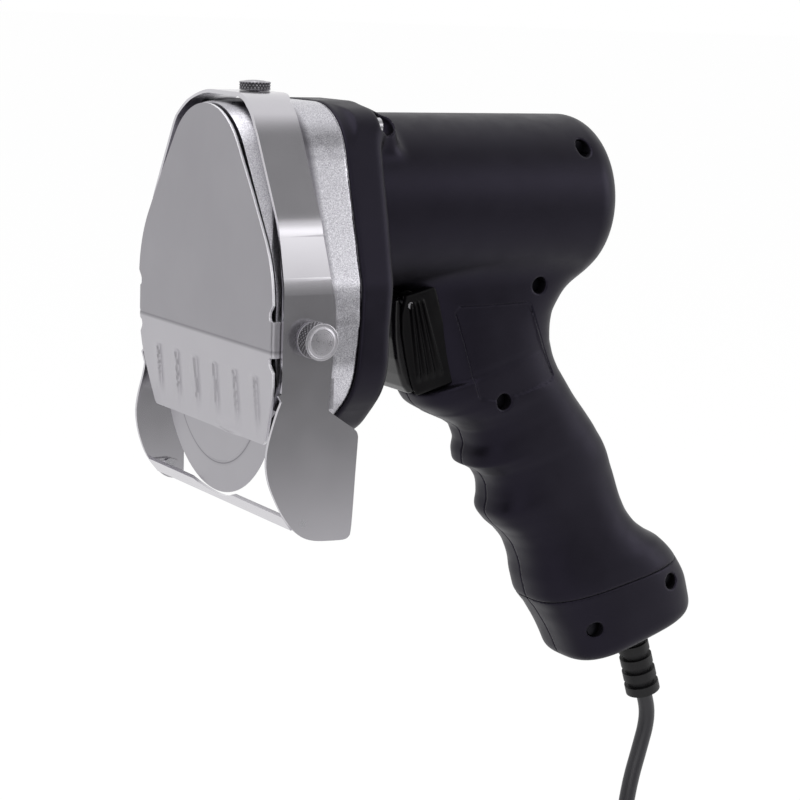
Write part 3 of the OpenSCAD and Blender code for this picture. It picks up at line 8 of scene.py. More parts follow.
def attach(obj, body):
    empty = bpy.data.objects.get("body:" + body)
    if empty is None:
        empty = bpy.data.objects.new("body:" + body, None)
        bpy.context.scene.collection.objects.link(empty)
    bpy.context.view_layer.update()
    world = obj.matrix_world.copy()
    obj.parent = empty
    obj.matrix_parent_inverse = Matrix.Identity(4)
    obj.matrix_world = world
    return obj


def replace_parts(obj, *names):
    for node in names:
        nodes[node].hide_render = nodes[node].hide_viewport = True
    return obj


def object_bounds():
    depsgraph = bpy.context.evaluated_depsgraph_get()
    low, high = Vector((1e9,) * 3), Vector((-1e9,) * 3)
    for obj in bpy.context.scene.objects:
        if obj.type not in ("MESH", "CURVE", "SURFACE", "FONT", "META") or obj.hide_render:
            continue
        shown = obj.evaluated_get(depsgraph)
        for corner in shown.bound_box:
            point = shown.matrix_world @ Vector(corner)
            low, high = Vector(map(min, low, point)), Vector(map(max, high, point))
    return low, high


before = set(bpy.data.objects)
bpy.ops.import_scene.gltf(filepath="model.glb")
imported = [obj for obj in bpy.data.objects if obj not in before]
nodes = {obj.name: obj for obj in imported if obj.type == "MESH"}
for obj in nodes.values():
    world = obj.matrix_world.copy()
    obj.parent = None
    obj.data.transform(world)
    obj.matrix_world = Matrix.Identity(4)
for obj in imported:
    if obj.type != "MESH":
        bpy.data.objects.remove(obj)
cad_low, cad_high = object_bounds()
MM = 0.001
# The drawing frame has x = 0 in the blade plane and z = 0 on the motor axis
TO_PART = np.array([-164.0, 0.0, 120.0])


def part(points):
    """Points in the drawing frame, in mm, as points in the part's frame, in metres."""
    return (np.asarray(points, float) + TO_PART) * MM


def aim_matrix(azimuth, elevation, roll, aim, distance):
    """Where a camera stands that looks at a point of the drawing frame from a distance in mm."""
    a, e, r = math.radians(azimuth), math.radians(elevation), math.radians(roll)
    back = np.array([math.sin(a) * math.cos(e), -math.cos(a) * math.cos(e), math.sin(e)])
    right = np.cross(-back, [0.0, 0.0, 1.0])
    right /= np.linalg.norm(right)
    up = np.cross(right, -back)
    x_axis = math.cos(r) * right + math.sin(r) * up
    y_axis = -math.sin(r) * right + math.cos(r) * up
    place = part(aim) + back * distance * MM
    m = Matrix.Identity(4)
    for row in range(3):
        m[row][0], m[row][1], m[row][2], m[row][3] = x_axis[row], y_axis[row], back[row], place[row]
    return m


# Camera
PICTURE_PX = 800
FOCAL_PX = 2186.46
SENSOR_MM = 36.0
camera_data = bpy.data.cameras.new("camera")
camera = bpy.data.objects.new("camera", camera_data)
bpy.context.scene.collection.objects.link(camera)
bpy.context.scene.camera = camera
camera_data.sensor_width = SENSOR_MM
camera_data.lens = SENSOR_MM * FOCAL_PX / PICTURE_PX
camera_data.clip_start = 0.02
camera_data.clip_end = 300.0
camera.matrix_world = aim_matrix(azimuth=-32.0, elevation=10.10, roll=2.08, aim=(88.52, 0.0, -86.81),
                                 distance=946.06)

# Materials


def srgb(r, g, b):
    """A colour given as 0 to 255 in sRGB, as linear values."""
    out = []
    for c in (r, g, b):
        c = c / 255.0
        out.append(c / 12.92 if c <= 0.04045 else ((c + 0.055) / 1.055) ** 2.4)
    return (*out, 1.0)


def fresh_tree(owner):
    owner.use_nodes = True
    owner.node_tree.nodes.clear()
    return owner.node_tree


def new_node(tree, kind, **values):
    """A new shader node, with values for its inputs; a space in an input's name is written as _."""
    n = tree.nodes.new("ShaderNode" + kind)
    for name, v in values.items():
        n.inputs[name.replace("_", " ")].default_value = v
    return n


def fill(tree, socket, x):
    """Gives a socket a fixed value, or links it to another node's output."""
    if isinstance(x, (int, float, tuple)):
        socket.default_value = x
    else:
        tree.links.new(x, socket)


def maths_node(tree, operation, a, b):
    n = new_node(tree, "Math")
    n.operation = operation
    fill(tree, n.inputs[0], a)
    fill(tree, n.inputs[1], b)
    return n.outputs[0]


def set_stops(ramp, stops):
    """Puts the stops, each a place from 0 to 1 and a colour, in a colour ramp."""
    e = ramp.color_ramp.elements
    while len(e) < len(stops):
        e.new(0.5)
    for i, (at, c) in enumerate(stops):
        e[i].position = at
        e[i].color = (*c[:3], 1.0)


def grey(level):
    return (level, level, level)


class Finish:
    """A procedural material: a Principled shader with noise in its colour, roughness and bump."""

    def __init__(self, name, colour, roughness, metallic=0.0):
        self.material = bpy.data.materials.new(name)
        self.tree = fresh_tree(self.material)
        self.shader = new_node(self.tree, "BsdfPrincipled", Base_Color=colour, Roughness=roughness,
                               Metallic=metallic)
        out = new_node(self.tree, "OutputMaterial")
        self.tree.links.new(self.shader.outputs["BSDF"], out.inputs["Surface"])
        self.place = new_node(self.tree, "TexCoord").outputs["Object"]
        self.height = None

    def value(self, name, v):
        self.shader.inputs[name].default_value = v
        return self

    def through(self, source, kind, socket, output, **values):
        """What comes out of a new node that a source goes into."""
        n = new_node(self.tree, kind, **values)
        self.tree.links.new(source, n.inputs[socket])
        return n.outputs[output]

    def stretched(self, stretch):
        return self.through(self.place, "Mapping", "Vector", "Vector", Scale=stretch)

    def noise(self, scale, detail=3.0, rough=0.5, at=None):
        return self.through(at or self.place, "TexNoise", "Vector", "Fac", Scale=scale, Detail=detail,
                            Roughness=rough)

    def ramp(self, source, stops):
        n = new_node(self.tree, "ValToRGB")
        set_stops(n, stops)
        self.tree.links.new(source, n.inputs["Fac"])
        return n.outputs["Color"]

    def spread(self, source, low, high, from_low=0.3, from_high=0.7):
        return self.through(source, "MapRange", "Value", "Result", From_Min=from_low, From_Max=from_high,
                            To_Min=low, To_Max=high)

    def axis(self, which):
        return self.through(self.place, "SeparateXYZ", "Vector", which)

    def maths(self, operation, a, b):
        return maths_node(self.tree, operation, a, b)

    def blend(self, fac, a, b):
        n = self.tree.nodes.new("ShaderNodeMix")
        n.data_type = "RGBA"
        for socket, x in ((n.inputs["Factor"], fac), (n.inputs[6], a), (n.inputs[7], b)):
            fill(self.tree, socket, x)
        return n.outputs[2]

    def colour(self, source):
        self.tree.links.new(source, self.shader.inputs["Base Color"])
        return self

    def rough(self, source):
        self.tree.links.new(source, self.shader.inputs["Roughness"])
        return self

    def bump(self, source, depth, strength=1.0):
        n = new_node(self.tree, "Bump", Distance=depth, Strength=strength)
        self.tree.links.new(source, n.inputs["Height"])
        if self.height is not None:
            self.tree.links.new(self.height, n.inputs["Normal"])
        self.height = n.outputs["Normal"]
        self.tree.links.new(self.height, self.shader.inputs["Normal"])
        return self


def plastic(name, base, lighter, roughness, grain_mm=0.35, depth_mm=0.02):
    """Moulded plastic or rubber: wide clouds in its colour and a fine grain."""
    f = Finish(name, base, roughness)
    f.tone = f.ramp(f.noise(28.0, 3.0), [(0.35, base), (0.7, lighter)])
    f.colour(f.tone)
    f.rough(f.spread(f.noise(120.0, 4.0), roughness - 0.04, roughness + 0.05))
    f.bump(f.noise(1.0 / (grain_mm * MM), 2.0), depth_mm * MM)
    return f


def steel(name, base, darker, roughness, brush, grain, depth_mm):
    """Turned or brushed metal; the brush stretches its grain along x, y and z."""
    f = Finish(name, base, roughness, 1.0)
    line = f.noise(grain, 3.0, 0.6, f.stretched(brush))
    wide = f.noise(35.0, 3.0)
    tone = f.blend(f.spread(wide, 0.0, 1.0), base, darker)
    f.colour(f.blend(f.spread(line, 0.0, 0.35), tone, darker))
    f.rough(f.spread(line, roughness - 0.05, roughness + 0.08))
    f.bump(line, depth_mm * MM)
    return f


def rolled(name, base, darker, roughness):
    """Smooth rolled sheet: only faint clouds and a very fine grain."""
    f = Finish(name, base, roughness, 1.0)
    cloud = f.spread(f.noise(22.0, 3.0), 0.0, 1.0)
    grain = f.spread(f.noise(2600.0, 2.0, 0.5, f.stretched((1.0, 1.0, 0.15))), 0.0, 0.3)
    f.tone = f.blend(grain, f.blend(cloud, base, darker), darker)
    f.colour(f.tone)
    f.rough(f.spread(f.noise(60.0, 2.0), roughness - 0.012, roughness + 0.015))
    return f


def line_mask(finish, ends, width):
    """1 along a straight line in the side view, 0 away from it; ends are in the drawing frame."""
    (ax, az), (bx, bz) = [(x + TO_PART[0], z + TO_PART[2]) for x, z in ends]
    length = math.hypot(bx - ax, bz - az)
    ux, uz = (bx - ax) / length, (bz - az) / length
    x = finish.maths("SUBTRACT", finish.axis(0), ax * MM)
    z = finish.maths("SUBTRACT", finish.axis(2), az * MM)
    along = finish.maths("ADD", finish.maths("MULTIPLY", x, ux), finish.maths("MULTIPLY", z, uz))
    aside = finish.maths("ADD", finish.maths("MULTIPLY", x, -uz), finish.maths("MULTIPLY", z, ux))
    off_middle = finish.maths("ABSOLUTE", finish.maths("SUBTRACT", along, length / 2 * MM), 0.0)
    fade_from, fade_to = (length / 2 - 1.2) * MM, (length / 2 + 0.2) * MM
    on_length = finish.spread(off_middle, 1.0, 0.0, fade_from, fade_to)
    off_line = finish.maths("ABSOLUTE", aside, 0.0)
    on_width = finish.spread(off_line, 1.0, 0.0, width * 0.3 * MM, width * MM)
    return finish.maths("MULTIPLY", on_length, on_width)


# Ends and half width, in mm, of the lines that show round the bare panel
PANEL_LINES = [
    (((103.0, -46.4), (115.2, -83.6)), 0.5), (((104.4, -44.2), (137.6, -43.2)), 0.4),
    (((139.6, -44.0), (156.0, -77.0)), 0.7)]
LINE_DEPTH = 0.35
BLACK, BLACK_WORN, LINE_BLACK = srgb(12, 11, 13), srgb(17, 16, 19), srgb(3, 3, 4)
BLUISH = srgb(218, 206, 255)
EVEN = (1.0, 1.0, 1.0)


def body_plastic():
    """Black plastic, with the fine lines round the bare panel."""
    f = plastic("body_plastic", BLACK, BLACK_WORN, 0.42)
    f.value("Specular IOR Level", 0.22).value("Specular Tint", BLUISH)
    masks = [line_mask(f, ends, width) for ends, width in PANEL_LINES]
    groove = f.maths("MAXIMUM", f.maths("MAXIMUM", masks[0], masks[1]), masks[2])
    f.colour(f.blend(groove, f.tone, LINE_BLACK))
    return f.bump(f.maths("SUBTRACT", 1.0, groove), LINE_DEPTH * MM)


def shaded_black(name, base, lighter, roughness, grain_mm, depth_mm, level):
    """Rubber or plastic with its own strength of reflection."""
    return plastic(name, base, lighter, roughness, grain_mm, depth_mm).value("Specular IOR Level", level)


def cast_alloy():
    """Sand-cast alloy, with painted shade beside and under the strap."""
    painted_shade_from, painted_shade_full, painted_shade_last, painted_shade_end = -0.170, -0.159, -0.146, -0.143
    f = Finish("cast_alloy", srgb(205, 205, 210), 0.3, 1.0)
    grit = f.noise(2600.0, 2.0, 0.6)
    speckle = f.spread(grit, 0.0, 1.0, 0.36, 0.64)
    tone = f.blend(speckle, srgb(222, 221, 226), srgb(158, 156, 164))
    painted_shade_in = f.spread(f.axis(0), 0.25, 1.0, painted_shade_from, painted_shade_full)
    painted_shade_out = f.spread(f.axis(0), 1.0, 0.0, painted_shade_last, painted_shade_end)
    # Painted shade: the alloy goes darker towards the strap's edge and under the strap
    f.colour(f.blend(f.maths("MULTIPLY", painted_shade_in, painted_shade_out), tone, srgb(118, 116, 122)))
    f.rough(f.spread(f.noise(300.0, 2.0), 0.27, 0.34))
    return f.bump(grit, 0.03 * MM, 0.8)


def cover_steel():
    """The lower panel is painted lighter for the light it catches, and the fold above it is painted with a
    thin line of shade.
    """
    fold_z = 0.068
    f = rolled("cover_steel", srgb(162, 160, 165), srgb(157, 155, 160), 0.42)
    near_fold = f.spread(f.axis(2), 0.0, 1.0, fold_z - 0.004, fold_z + 0.002)
    # Painted light on the lower panel, and a thin line of painted shade along the fold
    below_fold = f.ramp(near_fold, [(0.5, grey(1)), (0.7, grey(0))])
    crease_painted_shade = f.ramp(near_fold, [(0.42, grey(0)), (0.62, grey(0.75)), (0.68, grey(1)), (0.76, grey(0))])
    panels_with_painted_light = f.blend(below_fold, f.tone, srgb(188, 186, 191))
    return f.colour(f.blend(crease_painted_shade, panels_with_painted_light, srgb(138, 136, 141)))


def strap_steel():
    """Polished; the side of its plates that faces the blade is painted darker as shade."""
    inner_y, outer_y, plate_low, plate_top = 0.0613, 0.0619, -0.078, -0.066
    f = rolled("strap_steel", srgb(200, 198, 203), srgb(196, 194, 199), 0.19)
    inner_face = f.spread(f.maths("ABSOLUTE", f.axis(1), 0.0), 1.0, 0.0, inner_y, outer_y)
    on_plate = f.spread(f.axis(2), 1.0, 0.0, plate_low, plate_top)
    # Painted shade on the inner faces of the plates, low down
    return f.colour(f.blend(f.maths("MULTIPLY", inner_face, on_plate), f.tone, srgb(134, 132, 137)))


def blade_steel():
    """A shallow turned ring round the blade's axis shows darker."""
    axis_z, ring_in, ring_out = 0.051, 0.0366, 0.0394
    f = rolled("blade_steel", srgb(174, 172, 177), srgb(168, 166, 171), 0.34)
    across, up = f.axis(1), f.maths("SUBTRACT", f.axis(2), axis_z)
    squares = f.maths("ADD", f.maths("MULTIPLY", across, across), f.maths("MULTIPLY", up, up))
    from_axis = f.maths("SQRT", squares, 0.0)
    ring = f.ramp(f.spread(from_axis, 0.0, 1.0, ring_in, ring_out), [
        (0.0, grey(0)), (0.35, grey(0.1)), (0.5, grey(1)), (0.62, grey(0.15)), (1.0, grey(0))])
    return f.colour(f.blend(ring, f.tone, srgb(112, 110, 116)))


def knurled_steel():
    """Steel with painted shade in the hollows of its knurling, which each mesh marks as "hollow"."""
    f = steel("knurled_steel", srgb(186, 184, 189), srgb(160, 158, 163), 0.3, EVEN, 1100.0, 0.002)
    hollow = new_node(f.tree, "Attribute")
    hollow.attribute_name = "hollow"
    # Painted shade, darkest where the knurling is deepest
    return f.colour(f.blend(hollow.outputs["Fac"], srgb(166, 164, 169), srgb(26, 25, 28)))


finishes = {
    "body": body_plastic(), "cast": cast_alloy(), "cover": cover_steel(), "strap": strap_steel(),
    "blade": blade_steel(), "knurled": knurled_steel(),
    "rubber": shaded_black("black_rubber", BLACK, BLACK_WORN, 0.5, 0.25, 0.03, 0.3),
    "gloss": shaded_black("trigger_plastic", srgb(8, 7, 10), srgb(12, 11, 14), 0.22, 0.5, 0.004, 0.35),
    "guard": shaded_black("guard_rubber", srgb(5, 4, 6), srgb(8, 7, 9), 0.36, 0.3, 0.01, 0.12),
    "cord": plastic("cord_sheath", srgb(26, 25, 30), srgb(36, 35, 40), 0.42, 0.3, 0.01),
    # The cover's cut rim is painted near white, as the highlight along its edge
    "cover_edge": rolled("cover_edge_steel", srgb(236, 235, 239), srgb(228, 227, 231), 0.5),
    "bright": steel("bright_steel", srgb(200, 199, 203), srgb(176, 175, 180), 0.26, EVEN, 1500.0, 0.004),
    "brass": steel("brass", srgb(205, 170, 95), srgb(170, 138, 75), 0.3, EVEN, 1200.0, 0.004),
    "copper": steel("copper", srgb(190, 112, 70), srgb(150, 80, 48), 0.38, (1.0, 8.0, 8.0), 700.0, 0.02),
    "core": steel("core_steel", srgb(96, 94, 100), srgb(70, 69, 74), 0.45, (12.0, 1.0, 1.0), 500.0, 0.02),
    "screw": steel("blackened_screw", srgb(40, 39, 44), srgb(24, 24, 27), 0.35, EVEN, 1500.0, 0.01),
    "carbon": plastic("carbon", srgb(38, 38, 40), srgb(50, 50, 52), 0.6, 0.2, 0.02),
    "phenolic": plastic("phenolic", srgb(62, 48, 40), srgb(74, 58, 48), 0.45, 0.4, 0.01),
    "lead": plastic("lead_insulation", srgb(120, 78, 48), srgb(60, 84, 140), 0.45, 0.4, 0.005),
}

FINISH_NODES = {
    "cast": ("gear_housing", "bearing_plate"),
    "cover": ("front_cover",),
    "strap": ("guide_strap", "guide_bar"),
    "blade": ("blade",),
    "knurled": ("thumbscrew_top", "thumbscrew_left", "thumbscrew_right"),
    "bright": ("bar_rivets", "blade_nut", "blade_spindle", "spindle_bearings", "motor_bearings", "idler_pin",
               "motor_pinion", "gearbox_screws", "trigger_pin", "clamp_screws", "plug_pins"),
    "body": ("housing_left", "housing_right", "cap_left", "cap_right"),
    "rubber": ("cooling_fan", "switch_body", "trigger_guard", "cord_clamp", "bend_sleeve", "coil_tie",
               "plug_body"),
    "gloss": ("trigger",),
    "screw": ("body_screws", "cap_screws"),
    "cord": ("cord_end", "cord", "cord_coil"),
    "brass": ("blade_gear", "idler_gear", "brush_holders"),
    "copper": ("field_coils", "armature_windings", "commutator"),
    "core": ("field_core", "armature"),
    "carbon": ("carbon_brushes",),
    "phenolic": ("brush_carrier",),
    "lead": ("inner_leads",),
}


def dress(obj, finish):
    """Puts one finish in every material slot of an object."""
    m = finishes[finish].material
    if not obj.material_slots:
        obj.data.materials.append(m)
    for s in obj.material_slots:
        s.material = m


for finish_name, node_names in FINISH_NODES.items():
    for node_name in node_names:
        dress(nodes[node_name], finish_name)

# Cord
CORD_D = 7.6
CORD_STEP = CORD_D + 0.6
COIL_IN_R = 33.0
COIL_TURNS = 6
LOOP_RINGS = 48
COIL_X, COIL_Z = 220.6, -364.0
CORD_ROUTE = [
    (231.43, 0, -236.56), (233.9, 0, -244.17), (234.6, 0, -250), (233.9, -0.1, -256), (232.2, -0.3, -262),
    (229.8, -0.8, -269), (226.9, -1.5, -277), (224.2, -2.4, -286), (222.2, -3.2, -296), (221, -3.8, -308),
    (220.6, -4.1, -322), (220.6, -4.1, -340), (220.6, -4.1, -355), (220.6, -4.1, -364),
]
TAIL_ROUTE = [
    (220.6, 4.1, -364), (220.6, 4.1, -373), (220.6, 4.1, -385), (220.6, 4.1, -399), (220.6, 4.1, -414),
    (220.6, 4.1, -428),
]


def rounded(points, between):
    """The same route with more points on a smooth curve through the given ones."""
    p = np.asarray(points, float)
    ends = np.vstack([2 * p[0] - p[1], p, 2 * p[-1] - p[-2]])
    out = []
    for i in range(len(p) - 1):
        a, b, c, d = ends[i:i + 4]
        for k in range(between):
            t = k / between
            out.append(0.5 * (2 * b + (c - a) * t + (2 * a - 5 * b + 4 * c - d) * t * t
                              + (3 * b - a - 3 * c + d) * t ** 3))
    out.append(p[-1])
    return np.array(out)


def coil_points():
    half = COIL_TURNS / 2
    centre = (COIL_X - COIL_IN_R - half * CORD_STEP, COIL_Z)
    out = []
    for i in range(COIL_TURNS * LOOP_RINGS + 1):
        f = i / LOOP_RINGS - half
        r = COIL_IN_R + CORD_STEP * abs(f)
        y = CORD_STEP / 2 * math.sin(math.pi / 2 * max(-1.0, min(1.0, 4 * f)))
        a = -2 * math.pi * f
        out.append((centre[0] + r * math.cos(a), y, centre[1] + r * math.sin(a)))
    return np.array(out)


cord_line = part(np.vstack([rounded(CORD_ROUTE, 4), coil_points()[1:-1], rounded(TAIL_ROUTE, 3)]))
cord_curve = bpy.data.curves.new("mains_cord", "CURVE")
cord_curve.dimensions = "3D"
cord_curve.bevel_depth = CORD_D / 2 * MM
cord_curve.bevel_resolution = 5
cord_curve.use_fill_caps = True
spline = cord_curve.splines.new("POLY")
spline.points.add(len(cord_line) - 1)
for k, p in enumerate(cord_line):
    spline.points[k].co = (*p, 1.0)
mains_cord = bpy.data.objects.new("mains_cord", cord_curve)
bpy.context.scene.collection.objects.link(mains_cord)
dress(mains_cord, "cord")
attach(mains_cord, "handle")
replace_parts(mains_cord, "cord", "cord_coil")

# Shapes: a solid is a function that gives, for points in mm, about how far each is outside it


def smooth_min(a, b, k):
    h = np.clip(0.5 + 0.5 * (b - a) / k, 0.0, 1.0)
    return b + (a - b) * h - k * h * (1.0 - h)


def smooth_max(a, b, k):
    return -smooth_min(-a, -b, k)


def surface_net(solid, low, high, step, block=6):
    """Quads along the surface of a solid inside a box, as vertices and faces."""
    low = np.asarray(low, float)
    n = [int(math.ceil((high[i] - low[i]) / step / block)) * block + 1 for i in range(3)]
    coarse = [np.arange(0, n[i] - 1, block) for i in range(3)]
    cx, cy, cz = np.meshgrid(*[(c + block / 2) * step + low[i] for i, c in enumerate(coarse)], indexing="ij")
    rough = solid(np.stack([cx.ravel(), cy.ravel(), cz.ravel()], 1)).reshape(cx.shape)
    near = np.abs(rough) < block * step * 1.9
    field = rough.repeat(block, 0).repeat(block, 1).repeat(block, 2)
    field = np.pad(field, ((0, 1),) * 3, mode="edge")
    wanted = near.repeat(block, 0).repeat(block, 1).repeat(block, 2)
    wanted = np.pad(wanted, ((0, 1),) * 3, mode="edge")
    grown = wanted.copy()
    for a in range(3):
        grown |= np.roll(wanted, 1, a)
    ijk = np.argwhere(grown)
    field[grown] = solid(ijk * step + low)
    inside = field < 0
    cells = np.array(n) - 1
    size = int(cells.prod())
    count = np.zeros(size)
    total = np.zeros((size, 3))
    quads = []
    for a in range(3):
        b, c = (a + 1) % 3, (a + 2) % 3
        s0, s1 = [slice(None)] * 3, [slice(None)] * 3
        s0[a], s1[a] = slice(None, -1), slice(1, None)
        cross = inside[tuple(s0)] != inside[tuple(s1)]
        edge = np.argwhere(cross)
        f0, f1 = field[tuple(s0)][cross], field[tuple(s1)][cross]
        at = edge.astype(float)
        at[:, a] += f0 / (f0 - f1)
        around = []
        for db, dc in ((1, 1), (0, 1), (0, 0), (1, 0)):
            cell = edge.copy()
            cell[:, b] -= db
            cell[:, c] -= dc
            ok = ((cell >= 0) & (cell < cells)).all(1)
            flat = np.where(ok, (cell[:, 0] * cells[1] + cell[:, 1]) * cells[2] + cell[:, 2], -1)
            around.append(flat)
            count += np.bincount(flat[ok], minlength=size)
            for d in range(3):
                total[:, d] += np.bincount(flat[ok], at[ok, d], minlength=size)
        q = np.stack(around, 1)
        whole = (q >= 0).all(1)
        out = f0 < 0
        quads.append(q[whole & out])
        quads.append(q[whole & ~out][:, ::-1])
    used = count > 0
    number = np.cumsum(used) - 1
    verts = total[used] / count[used][:, None] * step + low
    return verts, number[np.vstack(quads)]


def settle(points, solid, step, rounds=3):
    """Moves points onto the surface of a solid, each by less than a step."""
    e = 0.04
    for _ in range(rounds):
        d = solid(points)
        g = np.stack([(solid(points + e * a) - solid(points - e * a)) / (2 * e) for a in np.eye(3)], 1)
        g2 = np.maximum((g * g).sum(1), 0.05)
        move = (d / g2)[:, None] * g
        far = np.linalg.norm(move, axis=1)
        points = points - move * np.minimum(1.0, 0.6 * step / np.maximum(far, 1e-9))[:, None]
    return points


def new_piece(name, verts, faces, body, finish, smooth=True):
    mesh = bpy.data.meshes.new(name)
    mesh.from_pydata([tuple(p) for p in part(verts)], [], [tuple(int(i) for i in f) for f in faces])
    mesh.validate()
    mesh.update()
    if smooth:
        mesh.polygons.foreach_set("use_smooth", [True] * len(mesh.polygons))
    obj = bpy.data.objects.new(name, mesh)
    bpy.context.scene.collection.objects.link(obj)
    dress(obj, finish)
    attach(obj, body)
    return obj


def solid_piece(name, solid, low, high, step, body, finish):
    verts, faces = surface_net(solid, low, high, step)
    return new_piece(name, settle(verts, solid, step), faces, body, finish)


# Motor body
RAKE = math.radians(18.0)
CAP_JOINT = 224.0
GRIP_HALF = 21.0
FOOT_END = 260.5
WALL = 2.5
# Distance down the grip, front edge, back edge and half thickness, in mm
GRIP_ROWS = np.array([[a * CAP_JOINT, b * CAP_JOINT, c * CAP_JOINT, d * GRIP_HALF] for a, b, c, d in [
    (0.200, 0.312, 0.745, 0.95), (0.300, 0.312, 0.740, 1.03), (0.345, 0.312, 0.722, 1.05),
    (0.375, 0.312, 0.678, 1.06), (0.400, 0.312, 0.640, 1.06), (0.425, 0.312, 0.613, 1.06),
    (0.460, 0.312, 0.597, 1.06), (0.476, 0.312, 0.593, 1.05), (0.479, 0.272, 0.592, 1.05),
    (0.505, 0.280, 0.591, 1.05), (0.535, 0.306, 0.595, 1.04), (0.560, 0.334, 0.602, 1.03),
    (0.578, 0.354, 0.608, 1.01), (0.600, 0.369, 0.615, 1.00), (0.625, 0.371, 0.625, 0.99),
    (0.650, 0.360, 0.636, 0.99), (0.667, 0.358, 0.643, 0.99), (0.683, 0.374, 0.649, 0.99),
    (0.705, 0.392, 0.656, 0.98), (0.730, 0.398, 0.664, 0.98), (0.757, 0.393, 0.669, 0.98),
    (0.784, 0.382, 0.671, 0.98), (0.810, 0.391, 0.673, 0.98), (0.845, 0.413, 0.674, 0.99),
    (0.882, 0.428, 0.679, 1.01), (0.920, 0.432, 0.693, 1.05), (0.955, 0.429, 0.718, 1.10),
    (0.985, 0.429, 0.747, 1.14)]] + [[232.0, 100.0, 173.5, 24.6], [244.0, 103.5, 176.2, 25.0],
                                     [254.5, 105.4, 175.8, 25.0], [268.0, 106.8, 175.0, 25.0]])
CHIN_V = 107.2
GRIP_POWER = 2.0 / 0.68


def smooth_table(x, y, at):
    """Values between the given ones on a smooth curve that doesn't overshoot them."""
    h = np.diff(x)
    s = np.diff(y) / h
    m = np.zeros(len(x))
    m[0], m[-1] = s[0], s[-1]
    for i in range(1, len(x) - 1):
        if s[i - 1] * s[i] > 0:
            w1, w2 = 2 * h[i] + h[i - 1], h[i] + 2 * h[i - 1]
            m[i] = (w1 + w2) / (w1 / s[i - 1] + w2 / s[i])
    k = np.clip(np.searchsorted(x, at) - 1, 0, len(h) - 1)
    t = (at - x[k]) / h[k]
    return ((2 * t ** 3 - 3 * t ** 2 + 1) * y[k] + (t ** 3 - 2 * t ** 2 + t) * h[k] * m[k]
            + (3 * t ** 2 - 2 * t ** 3) * y[k + 1] + (t ** 3 - t ** 2) * h[k] * m[k + 1])


FINE_V = np.arange(GRIP_ROWS[0, 0], GRIP_ROWS[-1, 0] - 0.01, 0.5)
below = GRIP_ROWS[GRIP_ROWS[:, 0] > CHIN_V - 0.1]
chin = smooth_table(below[:, 0], below[:, 1], np.maximum(FINE_V, below[0, 0]))
low_front = np.where(FINE_V < below[0, 0], below[0, 1], chin)
top_front = np.maximum(low_front, GRIP_ROWS[0, 1])
fine_back = smooth_table(GRIP_ROWS[:, 0], GRIP_ROWS[:, 2], FINE_V)
fine_half = smooth_table(GRIP_ROWS[:, 0], GRIP_ROWS[:, 3], FINE_V)


def grip_uv(p):
    """Points in the grip's own frame: u across it from its front to its back, v down it."""
    c, s = math.cos(RAKE), math.sin(RAKE)
    return p[:, 0] * c + p[:, 2] * s, p[:, 0] * s - p[:, 2] * c


def loft(u, y, v, front_table, inset):
    """Distance outside a rounded section that changes down the grip."""
    front = np.interp(v, FINE_V, front_table) + inset
    back = np.interp(v, FINE_V, fine_back) - inset
    half = np.interp(v, FINE_V, fine_half) - inset
    du = u - (front + back) / 2
    g = (np.abs(du) / (back - front) * 2) ** GRIP_POWER + (np.abs(y) / half) ** GRIP_POWER
    g = g ** (1 / GRIP_POWER)
    r = np.sqrt(du * du + y * y) + 1e-6
    return r * (1 - 1 / np.maximum(g, 0.05)) * np.clip(0.75 + 0.25 * g, 0.5, 1)


def grip_solid(p, inset=0.0):
    u, v = grip_uv(p)
    upper = loft(u, p[:, 1], v, top_front, inset)
    lower = smooth_max(loft(u, p[:, 1], v, low_front, inset), CHIN_V + inset - v, 2.0)
    d = smooth_min(upper, lower, 1.2)
    d = smooth_max(d, v - FOOT_END + inset, 7.0)
    return np.maximum(d, FINE_V[0] - v)


BARREL_R, BARREL_START, BARREL_END, BARREL_ROUND = 36.7, 42.0, 178.0, 13.0


def barrel_solid(p, inset=0.0):
    r = np.sqrt(p[:, 1] ** 2 + p[:, 2] ** 2)
    qx = p[:, 0] - (BARREL_END - BARREL_ROUND)
    qr = r - (BARREL_R - BARREL_ROUND)
    past_corner = np.sqrt(np.maximum(qx, 0) ** 2 + np.maximum(qr, 0) ** 2)
    d = past_corner + np.minimum(np.maximum(qx, qr), 0) - BARREL_ROUND
    return np.maximum(d + inset, BARREL_START - p[:, 0])


DIRECTIONS = np.radians(np.arange(0.0, 181.0, 2.0) - 90.0)


def belt_distance(y, z, discs):
    """Distance outside the belt round discs that stand in mirror-image pairs."""
    y = np.abs(y)
    d = np.full(len(y), -1e9)
    for a in DIRECTIONS:
        ny, nz = math.cos(a), math.sin(a)
        reach = max(c[0] * ny + c[1] * nz + c[2] for c in discs)
        np.maximum(d, y * ny + z * nz - reach, out=d)
    return d


# Across, up and radius of the discs that the outlines of the flange and of the gear head go round
FLANGE_DISCS = [
    (22.6, -62.0, 31.8), (33.0, -56.5, 28.4), (36.0, -42.0, 25.4), (36.0, -33.0, 24.6), (10.5, 11.5, 30.6)]
HEAD_DISCS = [
    (22.6, -62.0, 30.15), (32.0, -56.5, 27.8), (36.0, -42.0, 24.3), (36.0, -33.0, 23.3), (10.5, 11.5, 30.15)]
FLANGE_X, FLANGE_REACH, FLANGE_WALL = 46.0, 66.0, 3.0
FAR_OFF = 60.0


def flange_rear(z):
    """The flange is thicker towards its top."""
    return FLANGE_X + 0.11 * np.maximum(z + 44.0, 0.0)


def seam_front(z):
    """The face where the flange meets the gear head leans a little."""
    return 32.0 + (z + 33.0) * 0.055


def flange_solid(p):
    d = np.full(len(p), FAR_OFF)
    near = p[:, 0] < FLANGE_REACH
    q = p[near]
    belt = belt_distance(q[:, 1], q[:, 2], FLANGE_DISCS)
    f = smooth_max(belt, q[:, 0] - flange_rear(q[:, 2]), 5.0)
    d[near] = smooth_max(f, seam_front(q[:, 2]) - q[:, 0], 1.2)
    return d


